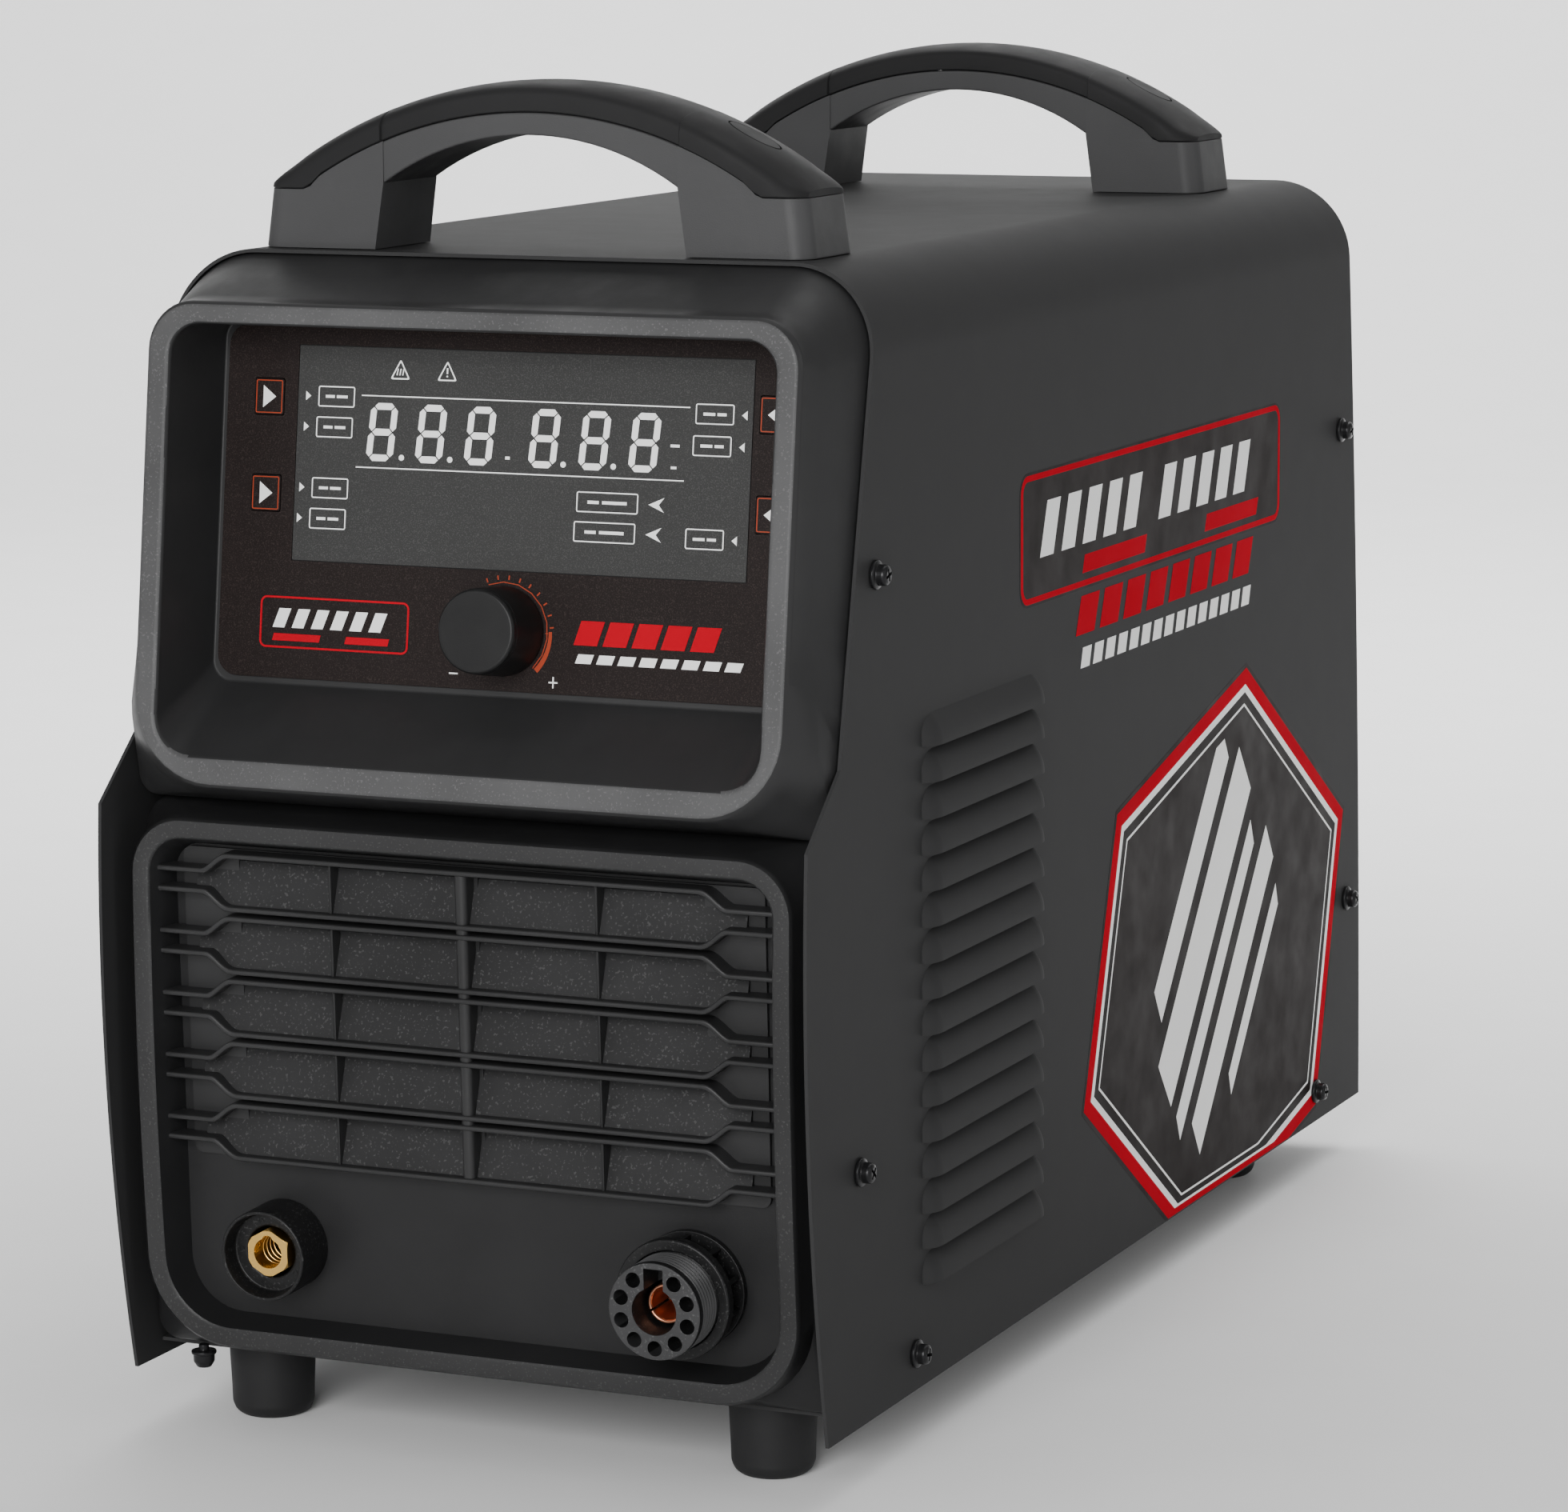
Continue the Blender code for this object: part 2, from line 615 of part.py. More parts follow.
def make_cover():
    """Inverted-U cover with its bowed front edges and two columns of pressed louvres."""
    outer = arch_outline(HALF, COVER_HEIGHT, COVER_CORNER_RADIUS, 0)
    inner = arch_outline(HALF - SHEET, COVER_HEIGHT - SHEET, COVER_CORNER_RADIUS - SHEET, 0)
    outline = outer[1:] + [outer[0]] + [inner[0]] + list(reversed(inner[1:]))
    sheet = slab([outline], -BODY_LENGTH - mm(20), mm(30), FRONT)
    cover = add("cover", sheet, "powder_coat", smooth=30)
    keep_inside(cover, slab([side_outline()], -HALF - mm(10), HALF + mm(10), SIDE), "side_trim")
    hoods, cavities = [], []
    for sign in (1, -1):
        for i in range(LOUVRE_COUNT):
            hood, cavity = louvre(sign, COVER_HEIGHT - LOUVRE_TOP_DROP - i * LOUVRE_PITCH)
            hoods.append(hood)
            cavities.append(cavity)
    fuse(cover, merged(hoods), "hoods")
    cut(cover, merged(cavities), "louvre_openings")
    names = [name for name, _, _ in screw_places()]
    cut(cover, screw_holes(names, HALF - SHEET - mm(2), HALF + mm(2)), "screw_holes")


def make_base_tray():
    """Folded tray: a floor with an upturned flange along each side."""
    top = TRAY_LIFT + TRAY_FLANGE
    outline = [(-INSIDE, TRAY_LIFT), (INSIDE, TRAY_LIFT), (INSIDE, top), (INSIDE - SHEET, top),
               (INSIDE - SHEET, TRAY_TOP), (-INSIDE + SHEET, TRAY_TOP), (-INSIDE + SHEET, top),
               (-INSIDE, top)]
    rear = REAR_PLATE + TRAY_OVERLAP
    tray = add("base_tray", slab([outline], -rear, -TRAY_FRONT, FRONT), "powder_coat")
    notch = mm(5)
    front_notch = block((-HALF, TRAY_FRONT - notch, TRAY_TOP), (HALF, PANEL_BACK + GAP, top + notch))
    rear_notch = block((-HALF, REAR_PLATE - WALL - GAP, TRAY_TOP), (HALF, rear + notch, top + notch))
    cut(tray, merged([front_notch, rear_notch]), "flange_ends")
    low = ("front_low", "rear_low")
    cut(tray, screw_holes(low, INSIDE - SHEET - mm(2), INSIDE + mm(2)), "screw_holes")


def make_rear_panel():
    """Rear moulding: a plate with a rim that runs back inside the cover."""
    outer = arch_outline(INSIDE, INSIDE_TOP, INSIDE_RADIUS, TRAY_TOP + GAP)
    inner = arch_outline(INSIDE - WALL, INSIDE_TOP - WALL, INSIDE_RADIUS - WALL, TRAY_TOP + GAP + WALL)
    panel = add("rear_panel", slab([outer], -WALL, REAR_RIM_LENGTH, REAR), "black_abs")
    cut(panel, slab([inner], 0, REAR_RIM_LENGTH + mm(10), REAR), "rear_recess")
    depth = HALF + mm(10)
    keep_inside(panel, slab([side_outline(REAR_RIM_SETBACK)], -depth, depth, SIDE), "rear_trim")
    openings = [rod(REAR, 0, FAN_CENTRE, FAN_BORE, -mm(9), mm(3), 32)]
    nose = BREAKER_NOSE / 2 + GAP
    side = BREAKER_WIDTH / 2 + GAP
    openings.append(block((BREAKER_X - side, REAR_PLATE - mm(9), BREAKER_Z - nose),
                          (BREAKER_X + side, REAR_PLATE + mm(3), BREAKER_Z + nose)))
    for x, z, shank in ((INLET_X, INLET_Z, GLAND_SHANK), (-INLET_X, INLET_Z, INLET_SHANK),
                        (0, STUD_Z, STUD_DIAMETER)):
        openings.append(rod(REAR, x, z, shank + 2 * SCREW_PLAY, -mm(9), mm(3), ROUND_STEPS))
    cut(panel, merged(openings), "openings")
    rear_names = ("rear_top", "rear_mid")
    cut(panel, screw_holes(rear_names, INSIDE - WALL - mm(2), INSIDE + mm(2)), "screw_holes")


# ---------------------------------------------------------------- front mouldings
HOOD_SIDE_STEPS = 7


def hood_loop(half, low, high, foot_radius, top_radius):
    return rounded_rect(-half, half, low, high, foot_radius, top_radius, 5, HOOD_SIDE_STEPS)


def console_loop(half, low, high, foot_radius, top_radius, depth, swell=0.0):
    """A loop on a plane parallel to the rim; swell widens its lower corners."""
    points = []
    for x, y in hood_loop(half, low, high, foot_radius, top_radius):
        share = min(max((BUMPER_HEIGHT - y) / (BUMPER_HEIGHT * 0.35), 0), 1)
        x += math.copysign(swell * share, x)
        points.append(on_plane(CONSOLE, x, y, -depth))
    return points


def tucked_loop(inset, setback):
    """A loop just inside the cover's slanting front edge, at a distance behind that edge."""
    low = WAIST_HEIGHT + inset
    radius = INSIDE_RADIUS - inset
    points = hood_loop(INSIDE - inset, low, INSIDE_TOP - inset, mm(10), radius)
    return [Vector((x, brow_y(z) + setback, z)) for x, z in points]


def rim_half():
    return HALF - RIM_SIDE_INSET


def console_wall():
    """Half width and upright range of the wall behind the overlay, on the console plane."""
    half = rim_half() - RIM_WIDTH - mm(4)
    return half, RIM_FOOT_WIDTH + CONSOLE_FLOOR, RIM_HEIGHT - mm(5)


def overlay_box():
    """Left, right, low and high edges of the overlay on the console plane."""
    half, low, high = console_wall()
    return -half + OVERLAY_MARGIN, half - OVERLAY_MARGIN, low + OVERLAY_MARGIN, high - OVERLAY_MARGIN


def window_box():
    left, right, low, high = overlay_box()
    return (left + WINDOW_SIDE_MARGIN, right - WINDOW_RIGHT_MARGIN,
            low + WINDOW_FOOT_MARGIN, high - WINDOW_TOP_MARGIN)


def key_places():
    """(name, x, y) of the four keys on the console plane."""
    left, right, _, high = overlay_box()
    upper = high - KEY_FIRST_DROP
    places = []
    for side, x in (("left", left + KEY_SIDE_INSET), ("right", right - KEY_WIDTH / 2 - mm(2.6))):
        places.append((f"key_{side}_upper", x, upper))
        places.append((f"key_{side}_lower", x, upper - KEY_SPACING))
    return places


def key_openings(play, depth_low, depth_high):
    """Cutter for the key openings between two distances in front of the console plane."""
    width = KEY_WIDTH / 2 + play
    height = KEY_HEIGHT / 2 + play
    return merged([slab([rounded_rect(x - width, x + width, y - height, y + height, mm(1), mm(1), 1)],
                        depth_low, depth_high, CONSOLE) for _, x, y in key_places()])


def knob_place():
    return KNOB_OFFSET, overlay_box()[2] + KNOB_LIFT


def make_front_hood():
    """Upper moulding: raised rim, deep recess with a sloping floor, and a tucked-in flange."""
    half, low, high = console_wall()
    rim = rim_half()
    edge = mm(1.5)
    swell = BUMPER
    loops = [
        console_loop(half, low, high, mm(9), mm(9), CONSOLE_DEPTH),
        console_loop(rim - RIM_WIDTH, RIM_FOOT_WIDTH, RIM_HEIGHT - RIM_WIDTH + mm(1.5),
                     mm(16), mm(13), mm(1)),
        console_loop(rim - RIM_WIDTH + edge, RIM_FOOT_WIDTH - edge, RIM_HEIGHT - RIM_WIDTH + mm(2.5),
                     mm(17), mm(14), 0),
        console_loop(rim - edge, edge, RIM_HEIGHT - edge, RIM_FOOT_RADIUS, RIM_TOP_RADIUS, 0),
        console_loop(rim, 0, RIM_HEIGHT, RIM_FOOT_RADIUS, RIM_TOP_RADIUS, mm(2)),
        console_loop(rim + mm(1), -mm(1), RIM_HEIGHT + mm(1), RIM_FOOT_RADIUS, RIM_TOP_RADIUS + mm(2),
                     mm(7), swell * 0.6),
        console_loop(rim + mm(3), -mm(3), RIM_HEIGHT + mm(3), RIM_FOOT_RADIUS, RIM_TOP_RADIUS + mm(4),
                     mm(14), swell),
        tucked_loop(0, mm(2)),
        tucked_loop(0, TUCK),
        tucked_loop(WALL, TUCK),
        console_loop(half + mm(12), mm(7), RIM_HEIGHT - mm(3), mm(9), mm(20), CONSOLE_DEPTH + WALL),
    ]
    hood = add("front_hood", loft(loops), "black_abs", smooth=30)
    deep = -CONSOLE_DEPTH - WALL - mm(3)
    shallow = -CONSOLE_DEPTH + mm(3)
    cut(hood, key_openings(MOVING_PLAY, deep, shallow), "key_openings")
    x, y = knob_place()
    cut(hood, rod(CONSOLE, x, y, SHAFT_DIAMETER + 2 * MOVING_PLAY, deep, shallow), "shaft_hole")
    names = ("front_top",)
    cut(hood, screw_holes(names, INSIDE - WALL - mm(2), INSIDE + mm(2)), "screw_holes")


def panel_face_y(z):
    lift = z - PANEL_BOW_HEIGHT
    return PANEL_FRONT + PANEL_RADIUS - math.sqrt(PANEL_RADIUS ** 2 - lift ** 2)


def face_loop(inset, setback):
    """A loop of the lower panel that follows its bowed face."""
    half = HALF - PANEL_SIDE_INSET - inset
    points = hood_loop(half, PANEL_LIFT + inset, PANEL_TOP - inset,
                       max(PANEL_FOOT_RADIUS - inset, mm(6)), max(PANEL_TOP_RADIUS - inset, mm(6)))
    return [Vector((x, panel_face_y(z) + setback, z)) for x, z in points]


def back_loop(inset, y):
    low = TRAY_TOP + GAP + inset
    points = hood_loop(INSIDE - inset, low, WAIST_HEIGHT - GAP - inset, mm(10), mm(14))
    return [Vector((x, y, z)) for x, z in points]


def plate_loop(inset, depth):
    """A loop on the leaning plate; depth is behind its face."""
    half = HALF - PANEL_SIDE_INSET - FRAME_WIDTH - FRAME_DRAFT - inset
    height = PLATE_HEAD - PLATE_FOOT
    points = hood_loop(half, inset, height - inset, mm(24), mm(12))
    return [on_plane(PLATE, x, y, -depth) for x, y in points]


def grille_window():
    """Half width, low and high edges, on the plate, of the grille's seat."""
    half = HALF - PANEL_SIDE_INSET - FRAME_WIDTH - FRAME_DRAFT - mm(5)
    high = PLATE_HEAD - PLATE_FOOT - GRILLE_TOP_DROP
    return half, high - GRILLE_HEIGHT, high


def earth_x():
    return EARTH_SIDE_INSET - HALF


def torch_x():
    return HALF - TORCH_SIDE_INSET


def socket_frame(x):
    """Plane on the plate's face at a socket, out of the front."""
    lift = SOCKET_HEIGHT - PLATE_FOOT
    return PLATE @ Matrix.Translation((x, lift, 0))


def make_lower_panel():
    """Lower moulding: raised frame, leaning plate with the grille window and socket holes."""
    edge = mm(1.2)
    loops = [
        plate_loop(0, 0),
        face_loop(FRAME_WIDTH, mm(1)),
        face_loop(FRAME_WIDTH - edge, 0),
        face_loop(edge, 0),
        face_loop(0, edge),
        face_loop(-mm(1), mm(12)),
        back_loop(mm(1), mm(30)),
        back_loop(0, mm(34)),
        back_loop(0, PANEL_BACK),
        back_loop(WALL, PANEL_BACK),
        back_loop(WALL + mm(2), mm(32)),
        plate_loop(-mm(4), WALL),
    ]
    panel = add("lower_panel", loft(loops), "black_abs", smooth=30)
    half, low, high = grille_window()
    seat = mm(6)
    window = slab([rounded_rect(-half + seat, half - seat, low + seat, high - seat, mm(3), mm(3), 2)],
                  -mm(12), mm(3), PLATE)
    holes = [window]
    for x in (earth_x(), torch_x()):
        holes.append(rod(socket_frame(x), 0, 0, SOCKET_SHANK + 2 * GAP, -mm(12), mm(3), 20))
    cut(panel, merged(holes), "plate_openings")
    cut(panel, screw_holes(("front_mid",), INSIDE - WALL - mm(3), INSIDE + mm(2)), "screw_holes")


def slot_outline(middle, grow):
    """A long slot with a narrow neck at each end, grown by the rib's width."""
    half, _, _ = grille_window()
    wide = half - SLOT_SIDE_INSET + mm(5) + grow * 0.4
    tall = SLOT_HEIGHT / 2 + grow
    neck = SLOT_NECK / 2 + grow
    end = half - RIB + grow
    right = [(end, middle - neck), (end, middle + neck), (wide, middle + neck),
             (wide - mm(2.5), middle + neck + (tall - neck) * 0.55),
             (wide - NECK_LENGTH, middle + tall)]
    upper = [(-x, y) for x, y in reversed(right[1:])]
    lower = [(x, 2 * middle - y) for x, y in upper]
    return right + upper + list(reversed(lower)) + [(x, 2 * middle - y) for x, y in reversed(right[2:])]


def make_front_grille():
    """Snap-in grille: ribbed slot outlines on a thin backing, with a centre bar and fins."""
    half, low, high = grille_window()
    base = GAP
    back = base + GRILLE_BACK
    front = GRILLE_DEPTH
    edge = GRILLE_MARGIN
    outline = rounded_rect(-half - edge, half + edge, low - edge, high + edge, mm(4), mm(4), 2)
    backing = slab([outline], base, back, PLATE)
    grille = add("front_grille", backing, "black_abs", smooth=30)
    rings, openings, fins = [], [], []
    for row in range(GRILLE_ROWS):
        middle = high - RIB - SLOT_HEIGHT / 2 - row * GRILLE_PITCH
        rings.append(slab([slot_outline(middle, RIB), slot_outline(middle, 0)], base + mm(0.5), front, PLATE))
        tall = SLOT_HEIGHT / 2
        wide = half - SLOT_SIDE_INSET - mm(4)
        for side in (-1, 1):
            edges = sorted((side * CENTRE_BAR * 0.75, side * wide))
            openings.append(slab([rounded_rect(*edges, middle, middle + tall - mm(1), mm(1), mm(1), 1)],
                                 -mm(2), front * 0.5, PLATE))
            x = side * wide * 0.52
            fin = block((x - FIN / 2, middle - tall - RIB / 2, base + mm(0.6)),
                        (x + FIN / 2, middle + tall + RIB / 2, front - mm(3)))
            fin.transform(PLATE)
            fins.append(fin)
    fuse(grille, merged(rings), "slot_ribs")
    cut(grille, merged(openings), "air_openings")
    bar = block((-CENTRE_BAR / 2, low, base + mm(0.4)), (CENTRE_BAR / 2, high, front - mm(1)))
    bar.transform(PLATE)
    fuse(grille, merged([bar] + fins), "bar_and_fins")


# ---------------------------------------------------------------- console pieces
def make_console():
    """Overlay, window, four keys, knob with its shaft, and the potentiometer behind the wall."""
    left, right, low, high = overlay_box()
    back = -CONSOLE_DEPTH + GAP
    face = back + OVERLAY_THICKNESS
    outline = rounded_rect(left, right, low, high, OVERLAY_RADIUS, OVERLAY_RADIUS, 4)
    opening = rounded_rect(*window_box(), mm(0.5), mm(0.5), 1)
    overlay = add("control_overlay", slab([outline, opening], back, face, CONSOLE), "overlay_film")
    cut(overlay, key_openings(GAP, back - mm(2), face + mm(2)), "key_openings")
    x, y = knob_place()
    cut(overlay, rod(CONSOLE, x, y, SHAFT_DIAMETER + 2 * MOVING_PLAY, back - mm(2), face + mm(2)),
        "shaft_hole")
    wl, wr, wb, wt = window_box()
    pane = rounded_rect(wl + GAP, wr - GAP, wb + GAP, wt - GAP, mm(0.3), mm(0.3), 1)
    add("display_window", slab([pane], back, face, CONSOLE), "window_film")
    for name, kx, ky in key_places():
        width, height = KEY_WIDTH / 2, KEY_HEIGHT / 2
        cap = rounded_rect(kx - width, kx + width, ky - height, ky + height, mm(1), mm(1), 1)
        top = face + KEY_PROUD
        add(name, slab([cap], top - KEY_LENGTH, top, CONSOLE), "overlay_film",
            origin=on_plane(CONSOLE, kx, ky, top))
    knob_frame = CONSOLE @ Matrix.Translation((x, y, 0))
    seat = face + MOVING_PLAY
    radius = KNOB_DIAMETER / 2
    top = seat + KNOB_LENGTH
    end = -CONSOLE_DEPTH - WALL - SHAFT_LENGTH
    face_radius = radius - KNOB_DRAFT
    profile = [(0, top), (face_radius - mm(1.8), top), (face_radius - mm(0.4), top - mm(0.8)),
               (face_radius, top - mm(2.2)), (radius, seat + mm(1)), (radius - mm(0.5), seat),
               (SHAFT_DIAMETER / 2, seat), (SHAFT_DIAMETER / 2, end), (0, end)]
    add("control_knob", turned(profile, knob_frame, ROUND_STEPS), "black_abs",
        origin=on_plane(knob_frame, 0, 0, seat), smooth=35)
    body_top = -CONSOLE_DEPTH - WALL - GAP
    bore = SHAFT_DIAMETER / 2 + GAP
    body = [(0, end - mm(1)), (bore, end - mm(1)), (bore, body_top), (mm(12), body_top),
            (mm(12), end - mm(3)), (0, end - mm(3))]
    add("potentiometer", turned(body, knob_frame, 16), "grey_plastic", smooth=35)
    board_top = end - mm(3) - GAP
    board = rounded_rect(-mm(90), mm(90), low + mm(8), high - mm(10), mm(2), mm(2), 1)
    add("display_board", slab([board], board_top - mm(1.6), board_top, CONSOLE), "circuit_board")


# ---------------------------------------------------------------- sockets
def make_earth_socket():
    """Bayonet socket for the work lead: black cup with a brass hexagon and a keyed bore."""
    frame = socket_frame(earth_x())
    outer = EARTH_DIAMETER / 2
    cup = EARTH_CUP_DIAMETER / 2
    floor = EARTH_PROUD - EARTH_CUP_DEPTH
    shank = SOCKET_SHANK / 2
    nut_top = -WALL - GAP
    core = EARTH_HEX / math.sqrt(3) + GAP
    profile = [(core, floor), (cup, floor), (cup + mm(0.5), EARTH_PROUD - mm(0.5)),
               (cup + mm(1), EARTH_PROUD), (outer - mm(1), EARTH_PROUD), (outer, EARTH_PROUD - mm(1)),
               (outer, GAP), (shank, GAP), (shank, nut_top - mm(12)), (core, nut_top - mm(12))]
    add("earth_socket", turned(profile, frame, 20, ring=True), "black_abs", smooth=35)
    hexagon = circle((0, 0), EARTH_HEX * 2 / math.sqrt(3), 6)
    bore = circle((0, 0), EARTH_BORE, 20)
    contact = add("earth_contact", slab([hexagon, bore], nut_top - mm(16), EARTH_PROUD - mm(5), frame),
                  "brass", smooth=35)
    keyway = rounded_rect(-mm(2.5), mm(2.5), 0, EARTH_BORE / 2 + mm(1.2), mm(0.5), mm(2), 2)
    cut(contact, slab([keyway], nut_top - mm(20), EARTH_PROUD, frame), "keyway")


def make_torch_socket():
    """Central torch connector: threaded nose with nine pin holes, keyway, collar and contact."""
    frame = socket_frame(torch_x())
    thread = TORCH_DIAMETER / 2
    front = TORCH_PROUD
    collar_front = front - TORCH_THREAD_LENGTH
    collar_back = collar_front - TORCH_COLLAR_LENGTH
    bore = TORCH_BORE / 2
    shank = SOCKET_SHANK / 2
    end = -mm(22)
    steps_down = [(bore, front), (thread - mm(1.2), front), (thread, front - mm(1.2)),
                  (thread, collar_back), (shank, collar_back), (shank, end), (bore - mm(1), end),
                  (bore - mm(1), mm(2)), (bore, mm(2))]
    nose = add("torch_socket", turned(steps_down, frame, 24, ring=True), "black_abs", smooth=35)
    holes = []
    for i in range(TORCH_PIN_COUNT):
        angle = math.radians(90 + 360 * (i + 1) / (TORCH_PIN_COUNT + 1))
        x = TORCH_PIN_CIRCLE / 2 * math.cos(angle)
        y = TORCH_PIN_CIRCLE / 2 * math.sin(angle)
        holes.append(rod(frame, x, y, TORCH_PIN_HOLE, front - mm(10), front + mm(2), 8))
    key = rounded_rect(-TORCH_KEYWAY / 2, TORCH_KEYWAY / 2, 0, thread - mm(2.6), mm(0.3), mm(0.5), 1)
    holes.append(slab([key], front - mm(14), front + mm(2), frame))
    cut(nose, merged(holes), "pin_holes")
    collar = TORCH_COLLAR_DIAMETER / 2
    base = TORCH_BASE_DIAMETER / 2
    hub = thread + GAP
    low = GAP
    flange = mm(3)
    waist = base - mm(3)
    seat = collar - mm(1)
    ring = [(hub, collar_front), (collar, collar_front), (collar, collar_back), (waist, collar_back),
            (waist, low + flange), (seat, low + flange), (seat, low), (shank + GAP, low),
            (shank + GAP, collar_back - GAP), (hub, collar_back - GAP)]
    add("torch_collar", turned(ring, frame, 20, ring=True), "black_abs", smooth=35)
    outer = CONTACT_DIAMETER / 2
    inner = CONTACT_BORE / 2
    tube_front = front - mm(12)
    web = bore - mm(1) - GAP
    tube = [(inner, tube_front), (outer - mm(0.4), tube_front), (outer, tube_front - mm(0.6)),
            (outer, mm(1)), (web, mm(1)), (web, end + mm(2)), (inner, end + mm(2))]
    add("torch_contact", turned(tube, frame, 20, ring=True), "copper", smooth=35)


# ---------------------------------------------------------------- handles
def circle_drop(x, half, sagitta):
    """Drop of a circular arch, half wide and sagitta high, at a distance from its middle."""
    radius = (half ** 2 + sagitta ** 2) / (2 * sagitta)
    return radius - math.sqrt(radius ** 2 - x ** 2)


def split_z(x):
    """Height of the split line over the handle's base."""
    ramp = HANDLE_HALF_LENGTH - HANDLE_RAMP
    x = abs(x)
    top = SPLIT_HEIGHT + SPLIT_RISE
    if x <= ramp:
        return top - circle_drop(x, ramp, SPLIT_RISE - mm(5))
    share = min((x - ramp) / mm(7), 1)
    return SPLIT_HEIGHT + mm(5) * (1 - share) ** 2


def cap_top_z(x):
    """Height of the cap's ridge over the handle's base."""
    x = abs(x)
    knee = HANDLE_HALF_LENGTH - mm(26)
    if x <= knee:
        return HANDLE_HEIGHT - circle_drop(x, knee, mm(24))
    share = (x - knee) / mm(26)
    knee_z = HANDLE_HEIGHT - mm(24)
    return knee_z - (knee_z - SPLIT_HEIGHT - mm(3)) * (0.35 * share + 0.65 * share ** 4)


def end_taper(x):
    """How far front and rear faces draw in near the handle's rounded ends."""
    start = HANDLE_HALF_LENGTH - mm(12)
    over = max(abs(x) - start, 0) / mm(12)
    return mm(13) * (1 - math.sqrt(max(1 - (over * 0.98) ** 2, 0)))


def handle_stations():
    """Distances from the middle at which the cap and the split line are drawn."""
    ramp = HANDLE_HALF_LENGTH - HANDLE_RAMP
    half = [ramp * share for share in (0, 0.25, 0.5, 0.75, 0.9)]
    half += [HANDLE_HALF_LENGTH - HANDLE_RAMP * share for share in (1, 0.7, 0.5, 0.3, 0.12, 0)]
    return [-x for x in reversed(half[1:])] + half


def make_handle(name, front):
    """Arched carrying handle: body with two pillars, cap, and an oval plug over each screw."""
    base = COVER_HEIGHT + GAP
    rear = front + HANDLE_DEPTH
    middle = (front + rear) / 2
    stations = handle_stations()
    half = HANDLE_HALF_LENGTH
    foot_half = half + mm(3)
    inner = half - mm(5) - PILLAR_WIDTH
    spring = HANDLE_OPENING - ARCH_RISE
    opening = [(inner, base), (inner - mm(4), base + spring)]
    for i in range(1, 8):
        x = (inner - mm(4)) * (1 - 2 * i / 8)
        opening.append((x, base + HANDLE_OPENING - circle_drop(x, inner - mm(4), ARCH_RISE)))
    opening += [(-inner + mm(4), base + spring), (-inner, base)]
    top = [(x, base + split_z(x) - GAP) for x in stations]
    outline = [(foot_half, base)] + list(reversed(top)) + [(-foot_half, base)] + list(reversed(opening))
    body = add(f"{name}_body", slab([outline], -rear, -front, FRONT), "handle_grey", smooth=25)
    corner = mm(9)
    plan = rounded_rect(-foot_half - mm(0.2), foot_half + mm(0.2), front - mm(0.01), rear + mm(0.01),
                        corner, corner, 4)
    keep_inside(body, slab([plan], base - mm(5), base + HANDLE_HEIGHT + mm(5), FLOOR), "plan_trim")
    sections = []
    for x in stations:
        taper = end_taper(x)
        low, high = base + split_z(x), base + cap_top_z(x)
        drop = CAP_EDGE_DROP + mm(6.5) * (x / half) ** 2
        edge = max(high - drop, low + mm(1))
        y0, y1 = front + taper, rear - taper
        sections.append([Vector(p) for p in (
            (x, y0, low), (x, y1, low), (x, y1, edge), (x, y1 - mm(4), (edge + 2 * high) / 3),
            (x, middle, high), (x, y0 + mm(4), (edge + 2 * high) / 3), (x, y0, edge))])
    cap = add(f"{name}_cap", loft(sections), "handle_grey", smooth=30)
    for side, sign in (("left", -1), ("right", 1)):
        x = sign * (half - PLUG_INSET)
        slope = (cap_top_z(abs(x) + mm(5)) - cap_top_z(abs(x) - mm(5))) / mm(10)
        up = Vector((0, 1, 0))
        across = Vector((1, 0, sign * slope))
        seat = plane((x, middle, base + cap_top_z(x)), across, up)
        pocket = [(px * PLUG_STRETCH, py) for px, py in circle((0, 0), PLUG_WIDTH, 16)]
        plug = [(px * PLUG_STRETCH, py) for px, py in circle((0, 0), PLUG_WIDTH - 2 * GAP, 16)]
        cut(cap, slab([pocket], -PLUG_DEPTH, mm(6), seat), f"plug_seat_{side}")
        add(f"{name}_plug_{side}", slab([plug], -PLUG_DEPTH + GAP, -mm(0.2), seat), "handle_grey",
            smooth=30)


# ---------------------------------------------------------------- feet
def make_feet():
    top = TRAY_LIFT - GAP
    sole = FOOT_SOLE_DIAMETER / 2
    profile = [(0, top), (FOOT_TOP_DIAMETER / 2, top), (sole + mm(1.2), -FOOT_DROP + mm(5)),
               (sole, -FOOT_DROP + mm(2)), (sole - mm(2.4), -FOOT_DROP), (0, -FOOT_DROP)]
    x = HALF - FOOT_X_INSET
    for row, y in (("front", FOOT_FRONT_Y), ("rear", BODY_LENGTH - FOOT_REAR_SETBACK)):
        for side, sign in (("left", -1), ("right", 1)):
            frame = Matrix.Translation((sign * x, y, 0))
            add(f"foot_{row}_{side}", turned(profile, frame, 16), "rubber", smooth=35)


